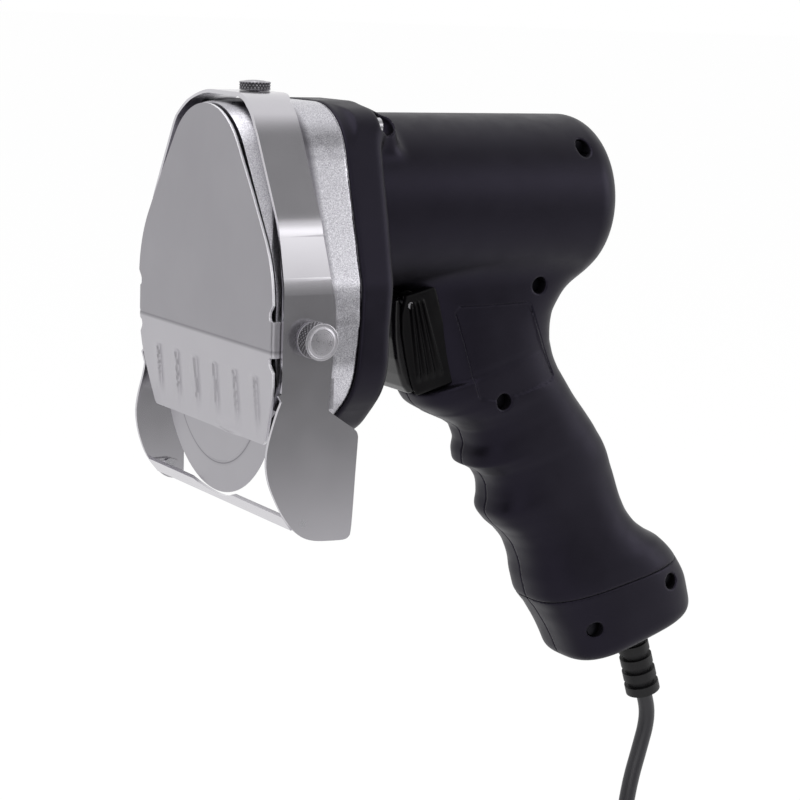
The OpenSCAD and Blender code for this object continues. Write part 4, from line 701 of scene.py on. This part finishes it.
def flange_cavity(p):
    d = np.full(len(p), FAR_OFF)
    near = p[:, 0] < FLANGE_REACH
    q = p[near]
    belt = belt_distance(q[:, 1], q[:, 2], FLANGE_DISCS) + FLANGE_WALL
    d[near] = np.maximum(belt, q[:, 0] - flange_rear(q[:, 2]) + FLANGE_WALL)
    return d


def rod(p, x, y, z, axis, r):
    """Distance outside an endless rod along an axis."""
    d = {"x": (p[:, 1] - y, p[:, 2] - z), "y": (p[:, 0] - x, p[:, 2] - z)}[axis]
    return np.sqrt(d[0] ** 2 + d[1] ** 2) - r


# Where each screw's recess stands in the side view, and how far its floor is from the middle
BODY_SCREWS = [(159.5, 23.4, 21.0), (143.9, -36.0, 15.0), (128.4, -86.5, 15.0)]
CAP_SCREWS = [(184.5, -195.7, 17.0), (225.7, -177.0, 17.0)]
RECESS_R, BOSS_R = 3.6, 4.6
PANEL_ROUND, PANEL_SINK = 2.5, 0.45
PANEL = np.array([
    (105.6, -47.0), (117.6, -82.6), (127.0, -83.6), (153.2, -76.6), (143.6, -61.0), (137.6, -46.0)])
# The gearbox screws: two in humps beside the barrel's top, two low in the flange, each in a tube
HUMP_Y, HUMP_Z, HUMP_R, HUMP_FRONT, HUMP_REAR = 24.5, 29.2, 7.4, 45.0, 64.0
TOP_TUBE_Y, TOP_TUBE_Z, TOP_TUBE_END = 28.0, 32.8, 71.5
LOW_TUBE_Y, LOW_TUBE_Z, LOW_TUBE_END = 31.0, -68.0, 70.5
TUBE_R, LOW_HOLE_R, LOW_HOLE_FROM = 7.5, 5.0, 43.0
SCOOP_FROM, SCOOP_TO, SCOOP_Y, SCOOP_Z, SCOOP_R = 54.0, 57.5, 28.6, 33.2, 5.2
# Opening for the trigger: across, and down and out in the grip's own frame
SLOT_HALF, SLOT_V, SLOT_U = 8.3, 84.5, 70.0
SEAM_GAP = 0.01


def polygon_distance(x, z, outline):
    d = np.full(len(x), 1e9)
    inside = np.zeros(len(x), bool)
    n = len(outline)
    for i in range(n):
        ax, az = outline[i]
        bx, bz = outline[(i + 1) % n]
        ex, ez = bx - ax, bz - az
        t = np.clip(((x - ax) * ex + (z - az) * ez) / (ex * ex + ez * ez), 0, 1)
        d = np.minimum(d, np.hypot(x - ax - t * ex, z - az - t * ez))
        crosses = ((az > z) != (bz > z)) & (x < (bx - ax) * (z - az) / (bz - az + 1e-12) + ax)
        inside ^= crosses
    return np.where(inside, -d, d)


def outer_body(p):
    """Barrel, grip, flange and the two humps of the upper gearbox screws, without any hollow."""
    d = smooth_min(barrel_solid(p), grip_solid(p), 7.0)
    d = smooth_min(d, flange_solid(p), 3.0)
    for s in (-1, 1):
        hump = smooth_max(rod(p, 0, s * HUMP_Y, HUMP_Z, "x", HUMP_R), p[:, 0] - HUMP_REAR, 5.0)
        d = smooth_min(d, np.maximum(hump, HUMP_FRONT - p[:, 0]), 7.0)
    return d


def panel_distance(p):
    """Distance outside the rounded outline of the bare panel, in the side view."""
    return polygon_distance(p[:, 0], p[:, 2], PANEL) - PANEL_ROUND


def body_solid(p, side):
    """The moulded body with its foot, cut in two by the middle plane; side is -1 for the near half."""
    outer = outer_body(p)
    hollow = np.minimum(barrel_solid(p, WALL), grip_solid(p, WALL))
    hollow = np.minimum(hollow, flange_cavity(p))
    for x, z, _ in BODY_SCREWS + CAP_SCREWS:
        hollow = np.maximum(hollow, -rod(p, x, 0, z, "y", BOSS_R))
    for s in (-1, 1):
        for y, z, end in ((TOP_TUBE_Y, TOP_TUBE_Z, TOP_TUBE_END), (LOW_TUBE_Y, LOW_TUBE_Z, LOW_TUBE_END)):
            hollow = np.maximum(hollow, -np.maximum(rod(p, 0, s * y, z, "x", TUBE_R), p[:, 0] - end))
    d = np.maximum(outer, -hollow)
    for s in (-1, 1):
        along = np.clip(p[:, 0], SCOOP_FROM, SCOOP_TO)
        off = p - np.stack([along, np.full(len(p), s * SCOOP_Y), np.full(len(p), SCOOP_Z)], 1)
        scoop = np.sqrt((off ** 2).sum(1)) - SCOOP_R
        d = smooth_max(d, -np.maximum(scoop, SCOOP_FROM - p[:, 0]), 0.7)
        hole = rod(p, 0, s * LOW_TUBE_Y, LOW_TUBE_Z, "x", LOW_HOLE_R)
        d = smooth_max(d, -np.maximum(hole, LOW_HOLE_FROM - p[:, 0]), 0.6)
    pocket = np.maximum(panel_distance(p), -outer - PANEL_SINK)
    d = smooth_max(d, -np.maximum(pocket, 12.0 - np.abs(p[:, 1])), 0.3)
    if side < 0:
        for x, z, floor in BODY_SCREWS + CAP_SCREWS:
            d = smooth_max(d, -np.maximum(rod(p, x, 0, z, "y", RECESS_R), p[:, 1] + floor), 0.7)
    u, v = grip_uv(p)
    slot = np.maximum(np.abs(p[:, 1]) - SLOT_HALF, np.abs(v - SLOT_V) - 20.0)
    d = np.maximum(d, -np.maximum(slot, np.abs(u - SLOT_U) - 4.0))
    return smooth_max(d, side * -p[:, 1] + SEAM_GAP, 0.5)


CAP_LEAN, CAP_MIDDLE_U = math.radians(6.0), 97.0


def above_joint(p):
    """Distance above the sloping joint of the foot."""
    u, v = grip_uv(p)
    return (CAP_JOINT - v) * math.cos(CAP_LEAN) + (u - CAP_MIDDLE_U) * math.sin(CAP_LEAN)


def body_half(side):
    return lambda p: smooth_max(body_solid(p, side), SEAM_GAP - above_joint(p), 0.6)


def cap_half(side):
    return lambda p: smooth_max(body_solid(p, side), above_joint(p) + SEAM_GAP, 0.6)


HEAD_FRONT, HEAD_GAP, HEAD_WALL = 6.5, 0.15, 6.0


def head_solid(p):
    """Machined outer wall of the gear head, between the strap and the flange."""
    outer = belt_distance(p[:, 1], p[:, 2], HEAD_DISCS)
    d = smooth_max(outer, HEAD_FRONT - p[:, 0], 1.0)
    d = smooth_max(d, p[:, 0] - seam_front(p[:, 2]) + HEAD_GAP, 0.5)
    return np.maximum(d, -outer - HEAD_WALL)


NET = 0.8
for side, name in ((-1, "left"), (1, "right")):
    y0, y1 = (-40.0, 1.0) if side < 0 else (-1.0, 40.0)
    shell = solid_piece("body_" + name, body_half(side), (28.0, y0 - 24.0 * (side < 0), -225.0),
                        (236.0, y1 + 24.0 * (side > 0), 46.0), NET, "handle", "body")
    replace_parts(shell, "housing_" + name)
    foot = solid_piece("foot_" + name, cap_half(side), (158.0, y0 * 0.7, -225.0), (252.0, y1 * 0.7, -140.0),
                       NET, "handle", "body")
    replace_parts(foot, "cap_" + name)

solid_piece("head_wall", head_solid, (4.0, -64.0, -95.0), (36.0, 64.0, 45.0), NET, "handle", "cast")

# Sheet and turned pieces


def evaluated(obj, sharp_from=38.0):
    """Applies an object's modifiers and shades it smooth up to an angle."""
    depsgraph = bpy.context.evaluated_depsgraph_get()
    mesh = bpy.data.meshes.new_from_object(obj.evaluated_get(depsgraph))
    obj.modifiers.clear()
    obj.data = mesh
    mesh.polygons.foreach_set("use_smooth", [True] * len(mesh.polygons))
    mesh.set_sharp_from_angle(angle=math.radians(sharp_from))
    return obj


def bevelled(obj, width):
    """Adds a small bevel to an object's sharp edges and returns its modifier."""
    edge = obj.modifiers.new("edge", "BEVEL")
    edge.width, edge.segments = width * MM, 2
    edge.limit_method, edge.angle_limit = "ANGLE", math.radians(50)
    return edge


def ease(x):
    """0 to 1 with a soft start and end."""
    x = np.clip(x, 0.0, 1.0)
    return x * x * (3.0 - 2.0 * x)


COVER_DISCS = [(10.0, -36.0, 50.0), (0.0, 6.0, 34.0)]
COVER_X, SHEET_T, COVER_TOP_R, COVER_TOP_Z = -8.0, 1.2, 34.0, 6.0
# Below SIDE_TOP the sides go straight down, at COVER_HALF from the middle
COVER_HALF, SIDE_TOP = 60.0, -36.0
FOLD_Z, FOLD_LEAN, LOWER_LEN = -52.0, math.radians(5.5), 38.78
LOWER_T = np.array([0.0, 8.0, 14.0, 20.0, 28.0, 34.0, 37.4, LOWER_LEN])
LOWER_HALF = np.array([COVER_HALF, 59.6, 58.9, 57.4, 54.2, 51.6, 50.0, 48.4])
TAB_TOP, TAB_LOW, TAB_BEND, TAB_END = -40.5, -54.5, 1.6, 15.0
# Ribs: how far apart, where they start and how they fade out down the panel, and their height
RIB_COUNT, RIB_PITCH, RIB_START, RIB_RISE, RIB_FADE, RIB_FADE_LEN = 6, 17.4, 11.0, 1.5, 26.0, 13.0
RIB_HEIGHT, RIB_WIDTH, RIB_STEP = 0.5, 5.0, 1.2
# Dent that a knock has left at the lower edge: where, how wide and how deep
DENT_Y, DENT_WIDTH, DENT_DEPTH, DENT_DROP, DENT_DROP_WIDTH = -18.0, 8.0, 1.2, 0.8, 9.0


def cover_row(t):
    """Half width of the cover at a distance down from its fold, without its notches."""
    if t >= 0:
        return float(np.interp(t, LOWER_T, LOWER_HALF))
    z = FOLD_Z - t
    if z < SIDE_TOP:
        return COVER_HALF
    across = np.linspace(0.0, 62.0, 1241)
    return float(np.interp(0.0, belt_distance(across, np.full(1241, z), COVER_DISCS), across))


def notch_depth(z):
    """How deep the side of the sheet is cut in above and below its tab."""
    top = np.interp(z, [TAB_TOP, -39.9, -39.2, -37.4, -36.4, -34.0], [1.0, 2.3, 2.6, 2.6, 2.1, 0.0])
    low = np.interp(z, [-60.5, -58.2, -57.2, -55.8, -55.1, TAB_LOW], [0.0, 2.1, 2.6, 2.6, 2.3, 1.0])
    return float(top if z > -47.0 else low)


def rib_profile(s):
    """A low crest, a steep step towards the near side and a long shallow hollow."""
    crest = RIB_HEIGHT * ease(1.0 - s / RIB_WIDTH)
    hollow = -RIB_HEIGHT * ease(1.0 - (-RIB_STEP - s) / RIB_WIDTH)
    step = hollow + (crest - hollow) * ease((s + RIB_STEP) / RIB_STEP)
    return np.where(s > 0, crest, np.where(s < -RIB_STEP, hollow, step))


def cover_relief(y, t):
    """How far the sheet is pressed forward: a groove along the fold, the ribs and the dent."""
    out = -0.22 * np.exp(-((t + 0.6) / 0.6) ** 2)
    along = ease((t - RIB_START) / RIB_RISE) * (1.0 - ease((t - RIB_FADE) / RIB_FADE_LEN))
    for i in range(RIB_COUNT):
        out = out + rib_profile(y - (i - (RIB_COUNT - 1) / 2) * RIB_PITCH) * along
    wave = np.exp(-((y - DENT_Y) / DENT_WIDTH) ** 2) * ease((t - LOWER_LEN + 5.5) / 3.0)
    return out + DENT_DEPTH * wave * (1.0 - 1.6 * ease((t - LOWER_LEN + 2.0) / 2.0))


def cover_rows():
    """Distances down from the fold at which the cover's mesh has its rows."""
    top = [FOLD_Z - (COVER_TOP_Z + COVER_TOP_R * math.cos(math.radians(a))) for a in range(2, 66, 3)]
    upper = list(np.arange(top[-1] + 1.3, FOLD_Z + 34.5, 1.3))
    notch = [FOLD_Z - z for z in np.arange(-34.0, TAB_TOP, -0.4)]
    tab = [FOLD_Z - z for z in np.linspace(TAB_TOP, TAB_LOW, 29)]
    under = [FOLD_Z - z for z in np.arange(TAB_LOW - 0.3, -61.0, -0.4)]
    rest = list(np.arange(under[-1] + 0.6, LOWER_LEN - 4.0, 0.6))
    rest += list(np.linspace(LOWER_LEN - 3.6, LOWER_LEN, 13))
    return top + [t for t in upper if t < notch[0]] + notch, tab, under + rest


def sheet_point(y, t):
    """Points of the cover's front face, t below its fold along the sheet."""
    past = np.clip(t + 1.5, 0.0, 3.0)
    back = math.sin(FOLD_LEAN) * (past * past / 6.0 + np.maximum(t - 1.5, 0.0))
    down = FOLD_Z - np.where(t > 0, t * math.cos(FOLD_LEAN), t)
    return np.stack([COVER_X + back - cover_relief(y, t), y, down], 1)


def front_cover_piece():
    # Columns stand a little closer towards the sides
    turn_to = math.pi / 2 * 0.35
    share = np.sin(np.linspace(-1.0, 1.0, 171) * turn_to) / math.sin(turn_to)
    verts, faces, rows = [], [], []
    above, tab, below = cover_rows()
    for k, t in enumerate(above + tab + below):
        z = FOLD_Z - t
        on_tab = len(above) <= k < len(above) + len(tab)
        notch = notch_depth(z) if -60.6 < z < -33.9 else 0.0
        half = COVER_HALF - TAB_BEND if on_tab else cover_row(t) - notch
        drop = DENT_DROP * np.exp(-((share * half - DENT_Y) / DENT_DROP_WIDTH) ** 2)
        drop = drop * ease(np.array((t - LOWER_LEN + 4.0) / 4.0))
        row = sheet_point(share * half, np.full(len(share), t))
        row[:, 2] -= drop
        if on_tab:
            turn = np.linspace(0.0, math.pi / 2, 7)[1:]
            bend_x = row[-1, 0] + TAB_BEND
            side = [(bend_x - TAB_BEND * math.cos(a), half + TAB_BEND * math.sin(a), z) for a in turn]
            side += [(x, COVER_HALF, z) for x in np.linspace(COVER_X + TAB_BEND + 2.0, TAB_END, 11)]
            row = np.vstack([[(x, -y, z) for x, y, z in side[::-1]], row, side])
        rows.append((len(verts), len(row)))
        verts += list(row)
    for (a, n), (b, m) in zip(rows[:-1], rows[1:]):
        wide = min(n, m)
        a0, b0 = a + (n - wide) // 2, b + (m - wide) // 2
        faces += [(a0 + i, b0 + i, b0 + i + 1, a0 + i + 1) for i in range(wide - 1)]
    cover = new_piece("cover_sheet", np.array(verts), faces, "handle", "cover")
    if cover.data.polygons[len(faces) // 2].normal.x > 0:
        cover.data.flip_normals()
    skin = cover.modifiers.new("sheet", "SOLIDIFY")
    skin.thickness, skin.offset, skin.use_even_offset = SHEET_T * MM, -1.0, True
    # The rim gets the near-white steel, a painted highlight along the sheet's edge
    cover.data.materials.append(finishes["cover_edge"].material)
    skin.material_offset_rim = 1
    bevelled(cover, 0.3)
    return evaluated(cover)


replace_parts(front_cover_piece(), "front_cover")


def turned(profile, steps, relief=None):
    """A mesh turned round its own z axis, closed where the profile meets the axis."""
    profile = np.asarray(profile, float)
    angle = np.arange(steps) * 2 * math.pi / steps
    verts, faces = [], []
    for k, (r, z) in enumerate(profile):
        ring = np.full(steps, r) + (relief(angle, r, z) if relief else 0.0)
        verts += list(np.stack([ring * np.cos(angle), ring * np.sin(angle), np.full(steps, z)], 1))
        if k:
            a, b = (k - 1) * steps, k * steps
            faces += [(a + i, a + (i + 1) % steps, b + (i + 1) % steps, b + i) for i in range(steps)]
    for k, up in ((0, False), (len(profile) - 1, True)):
        ring = list(range(k * steps, (k + 1) * steps))
        faces.append(ring if up else ring[::-1])
    return np.array(verts), faces


KNURL_TEETH, KNURL_DEPTH, KNURL_EDGE = 26, 0.6, 0.25
SCREW_STEPS, SHANK_R, SHANK_LEN, THREAD_DEPTH = 320, 2.5, 9.0, 0.22


def thumbscrew_piece(name, node, body, d, h, seat, axis_to):
    """A thumbscrew with a diamond-knurled rim and a face with turned rings."""
    r, chamfer, rise = d / 2, 0.5, 0.55
    lead = 2 * math.pi * r / KNURL_TEETH

    def knurl(angle, at_r, z):
        if not (KNURL_EDGE < z < h - KNURL_EDGE) or at_r < r - 0.8:
            return 0.0
        tooth, slant = angle * KNURL_TEETH / (2 * math.pi), z / lead * 0.8
        ridge = 2 * np.minimum(np.abs((tooth + slant) % 1.0 - 0.5), np.abs((tooth - slant) % 1.0 - 0.5))
        fade = min(1.0, (z - KNURL_EDGE) / 0.3, (h - KNURL_EDGE - z) / 0.3)
        return -KNURL_DEPTH * (1.0 - ridge) ** 0.7 * fade

    profile = [(SHANK_R - 0.05, -SHANK_LEN)]
    for k, z in enumerate(np.arange(-8.6, -0.2, 0.2)):
        profile.append((SHANK_R - THREAD_DEPTH * (k % 4 in (1, 2)), z))
    profile += [(SHANK_R, 0.0), (r - chamfer, 0.0), (r - 0.15, 0.2)]
    profile += [(r, z) for z in np.arange(0.3, h - KNURL_EDGE, 0.18)]
    profile += [(r - 0.12, h - 0.18), (r - chamfer, h)]
    for ring_r in np.arange(r - chamfer - 0.12, 0.3, -0.12):
        groove = 0.03 * math.cos(ring_r * 2 * math.pi / 0.72)
        crown = rise * (1 - (ring_r / (r - chamfer)) ** 2)
        rim_dip = -0.25 * math.exp(-((ring_r - r + 1.5) / 0.5) ** 2)
        profile.append((ring_r, h + crown + groove + rim_dip))
    profile.append((0.25, h + rise - 0.1))
    verts, faces = turned(profile, SCREW_STEPS, knurl)
    # How deep each point lies in the knurling, for the painted shade that its material shows there
    depth = np.zeros(len(verts))
    for k, (at_r, z) in enumerate(profile):
        if at_r > r - 0.4 and KNURL_EDGE < z < h - KNURL_EDGE:
            ring = slice(k * SCREW_STEPS, (k + 1) * SCREW_STEPS)
            depth[ring] = (r - np.hypot(verts[ring, 0], verts[ring, 1])) / KNURL_DEPTH
    z_axis = np.asarray(axis_to, float)
    x_axis = np.array([1.0, 0.0, 0.0])
    y_axis = np.cross(z_axis, x_axis)
    verts = verts[:, :1] * x_axis + verts[:, 1:2] * y_axis + verts[:, 2:] * z_axis + np.asarray(seat)
    obj = new_piece(name, verts, faces, body, "knurled")
    hollow_data = obj.data.attributes.new("hollow", "FLOAT", "POINT").data
    hollow_data.foreach_set("value", np.clip(depth, 0.0, 1.0))
    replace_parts(obj, node)
    return evaluated(obj, 50.0)


STRAP_OUT, SEAT_GAP = 62.1, 0.3
thumbscrew_piece("top_thumbscrew", "thumbscrew_top", "top_screw", d=13.0, h=3.5,
                 seat=(14.0, 0.0, 45.0 + SEAT_GAP), axis_to=(0, 0, 1))
for side, name in ((-1, "left"), (1, "right")):
    thumbscrew_piece(name + "_thumbscrew", "thumbscrew_" + name, name + "_screw", d=14.8, h=7.0,
                     seat=(9.1, side * (STRAP_OUT + SEAT_GAP), -47.5), axis_to=(0, side, 0))

# Trigger and its guard, with outlines and pleats in the grip's own frame
TRIGGER_HALF, PIVOT_U, PIVOT_V = 12.0, 65.6, 67.0
TRIGGER_OUTLINE = np.array([
    (61.4, 64.4), (59.4, 70.5), (57.2, 79.0), (55.9, 88.0), (55.7, 95.0), (56.2, 100.5), (57.4, 103.2),
    (61.4, 103.2), (61.9, 95.0), (61.9, 66.0)])
GUARD_OUTLINE = np.array([
    (65.0, 63.0), (61.6, 70.0), (59.6, 78.0), (58.6, 88.0), (58.2, 97.0), (58.4, 103.0), (59.4, 105.6),
    (78.0, 105.6), (78.0, 63.0)])
PLEAT_TOP = [66.0, 67.4, 69.0, 70.8]
PLEAT_LOW = [60.6, 64.0, 67.4, 71.0]


def trigger_solid(p):
    u, v = grip_uv(p)
    across = np.abs(p[:, 1])
    d = smooth_max(polygon_distance(u, v, TRIGGER_OUTLINE) - 1.6, across - TRIGGER_HALF, 2.4)
    ear = np.hypot(u - PIVOT_U, v - PIVOT_V) - 2.7
    web = np.maximum(np.maximum(np.abs(u - 63.0) - 2.6, np.abs(v - 68.0) - 3.7), across - 6.0)
    d = np.minimum(d, np.minimum(np.maximum(ear, across - 6.0), web))
    push = np.maximum(np.maximum(np.abs(u - 64.7) - 2.75, np.abs(v - 92.0) - 3.0), across - 3.0)
    d = smooth_min(d, push, 0.4)
    return np.maximum(d, 1.54 - np.hypot(u - PIVOT_U, v - PIVOT_V))


def guard_solid(p):
    u, v = grip_uv(p)
    across = np.abs(p[:, 1])
    down = np.clip((v - 63.0) / 42.0, 0.0, 1.0)
    ridges = np.full(len(p), 9.0)
    for top, low in zip(PLEAT_TOP, PLEAT_LOW):
        ridges = np.minimum(ridges, np.abs(u - (top + (low - top) * down)))
    spread = 0.85 + 0.85 * down
    fold = ease(1.0 - ridges / spread) * ease((v - 64.5) / 4.0) * ease((101.5 - v) / 4.0)
    half = 13.0 + 3.6 * ease((u - 57.0) / 18.0) + 1.2 * fold
    d = smooth_max(polygon_distance(u, v, GUARD_OUTLINE) - 0.9, across - half, 1.6)
    open_in = np.maximum(across - TRIGGER_HALF - 0.35, u - 69.0)
    d = smooth_max(d, -open_in, 0.4)
    slot = np.maximum(np.maximum(across - SLOT_HALF, np.abs(v - SLOT_V) - 18.0), u - 74.0)
    d = np.maximum(d, -slot)
    return np.maximum(d, -outer_body(p) - 0.5)


FINE_NET = 0.5
trigger = solid_piece("trigger_paddle", trigger_solid, (62.0, -14.0, -100.0), (96.0, 14.0, -38.0), FINE_NET,
                      "trigger", "gloss")
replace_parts(trigger, "trigger")
guard = solid_piece("pleated_guard", guard_solid, (70.0, -19.0, -104.0), (112.0, 19.0, -36.0), FINE_NET,
                    "handle", "guard")
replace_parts(guard, "trigger_guard")

# Rolled edges on the sheet parts that are kept from the model
for node_name, width in (("guide_strap", 0.22), ("guide_bar", 0.25), ("gear_housing", 0.3)):
    bevelled(nodes[node_name], width).harden_normals = node_name != "gear_housing"

# Stage and light
FLOOR_GREY, FLOOR_GLOW, FLOOR_SHARE = 0.92, 1.03, 0.92
WORLD_LIGHT, WORLD_SEEN = 0.6, 1.0


def seen_directly(tree):
    """1 for rays from the camera, off gloss or through glass."""
    path = new_node(tree, "LightPath").outputs
    seen = maths_node(tree, "MAXIMUM", path["Is Camera Ray"], path["Is Glossy Ray"])
    return maths_node(tree, "MAXIMUM", seen, path["Is Transmission Ray"])


def lay_floor(z):
    """A wide white floor that glows a little where it is seen, so that it joins the background."""
    bpy.ops.mesh.primitive_plane_add(size=160.0, location=(0.0, 3.0, z))
    floor = bpy.context.object
    floor.name = "floor"
    paint = bpy.data.materials.new("floor_paint")
    t = fresh_tree(paint)
    mix = new_node(t, "MixShader")
    diffuse = new_node(t, "BsdfDiffuse", Color=(*grey(FLOOR_GREY), 1.0))
    glow = new_node(t, "Emission", Strength=FLOOR_GLOW)
    t.links.new(maths_node(t, "MULTIPLY", seen_directly(t), FLOOR_SHARE), mix.inputs[0])
    t.links.new(diffuse.outputs[0], mix.inputs[1])
    t.links.new(glow.outputs[0], mix.inputs[2])
    t.links.new(mix.outputs[0], new_node(t, "OutputMaterial").inputs["Surface"])
    floor.data.materials.append(paint)


def light_world():
    """An even white sky that lights less than it shows."""
    world = bpy.data.worlds.new("studio")
    bpy.context.scene.world = world
    t = fresh_tree(world)
    sky = new_node(t, "Background", Color=(*grey(1.0), 1.0))
    strength = new_node(t, "MapRange", To_Min=WORLD_LIGHT, To_Max=WORLD_SEEN)
    t.links.new(seen_directly(t), strength.inputs["Value"])
    t.links.new(strength.outputs["Result"], sky.inputs["Strength"])
    t.links.new(sky.outputs[0], new_node(t, "OutputWorld").inputs["Surface"])


lay_floor(float(cad_low[2]) - 0.001)
light_world()


def aim_at(obj, place, target):
    obj.location = place
    obj.rotation_mode = "QUATERNION"
    obj.rotation_quaternion = (Vector(target) - Vector(place)).to_track_quat("-Z", "Y")


def area_light(name, place, target, size, power):
    data = bpy.data.lights.new(name, "AREA")
    data.shape = "RECTANGLE"
    data.size, data.size_y = size
    data.energy = power
    obj = bpy.data.objects.new(name, data)
    bpy.context.scene.collection.objects.link(obj)
    aim_at(obj, place, target)


CARD_GLOW = 2.0


def grey_card(name, centre, target, width, height, tones):
    """A flag that only polished surfaces see; its tone runs from its lower edge to its upper edge."""
    mesh = bpy.data.meshes.new(name)
    x, y = width / 2, height / 2
    mesh.from_pydata([(-x, -y, 0), (x, -y, 0), (x, y, 0), (-x, y, 0)], [], [(0, 1, 2, 3)])
    obj = bpy.data.objects.new(name, mesh)
    bpy.context.scene.collection.objects.link(obj)
    aim_at(obj, centre, target)
    obj.visible_camera = obj.visible_diffuse = obj.visible_shadow = obj.visible_transmission = False
    m = bpy.data.materials.new(name + "_cloth")
    t = fresh_tree(m)
    glow = new_node(t, "Emission", Strength=CARD_GLOW)
    place = new_node(t, "SeparateXYZ")
    ramp = new_node(t, "ValToRGB")
    set_stops(ramp, [(at, grey(tone / CARD_GLOW)) for at, tone in tones])
    t.links.new(new_node(t, "TexCoord").outputs["Generated"], place.inputs["Vector"])
    t.links.new(place.outputs[1], ramp.inputs["Fac"])
    t.links.new(ramp.outputs["Color"], glow.inputs["Color"])
    t.links.new(glow.outputs[0], new_node(t, "OutputMaterial").inputs["Surface"])
    mesh.materials.append(m)


HEAD_AT = (-0.15, -0.06, 0.08)
# Height on the front flag against its tone: the strap and its plate mirror this run from white to dark
FLAG_LOW, FLAG_TOP = -0.45, 0.85
FRONT_TONES = [(-0.45, 1.0), (-0.33, 0.75), (-0.284, 0.66), (-0.235, 0.26), (-0.187, 0.15), (-0.138, 0.17),
               (-0.09, 0.14), (-0.066, 0.2), (0.01, 0.27), (0.122, 0.37), (0.311, 0.45), (0.45, 0.5),
               (0.468, 0.62), (0.478, 1.0), (0.49, 1.55), (0.502, 1.9), (0.66, 1.9), (0.85, 1.0)]
FLAG_MIDDLE, FLAG_HEIGHT = (FLAG_LOW + FLAG_TOP) / 2, FLAG_TOP - FLAG_LOW
grey_card("front_flag", (0.45, -1.1, FLAG_MIDDLE), (0.45, 0.0, FLAG_MIDDLE), 1.3, FLAG_HEIGHT,
          [((z - FLAG_LOW) / FLAG_HEIGHT, t) for z, t in FRONT_TONES])
grey_card("middle_flag", (0.287, -0.505, 1.022), HEAD_AT, 1.0, 0.8, [
    (0.0, 0.9), (0.06, 0.6), (0.14, 0.33), (0.3, 0.3), (0.5, 0.36), (0.65, 0.5), (0.82, 0.75), (1.0, 1.0)])
grey_card("rim_flag", (-0.70, -0.70, 0.86), HEAD_AT, 0.8, 0.6, [
    (0.0, 0.7), (0.3, 0.42), (0.7, 0.42), (1.0, 0.9)])
grey_card("left_flag", (-1.25, -0.38, 0.0), HEAD_AT, 0.7, 0.9, [(0.0, 0.05), (0.8, 0.04), (1.0, 0.6)])
area_light("key", (-1.6, -1.5, 1.6), (0.0, 0.0, 0.0), (2.2, 2.2), 22.0)
area_light("top", (-0.3, -0.1, 1.9), (0.0, 0.0, 0.0), (1.5, 1.2), 12.0)
area_light("side", (1.7, -1.3, 0.6), (0.0, 0.0, -0.05), (1.2, 1.2), 12.0)

view = bpy.context.scene.view_settings
view.view_transform = "Standard"
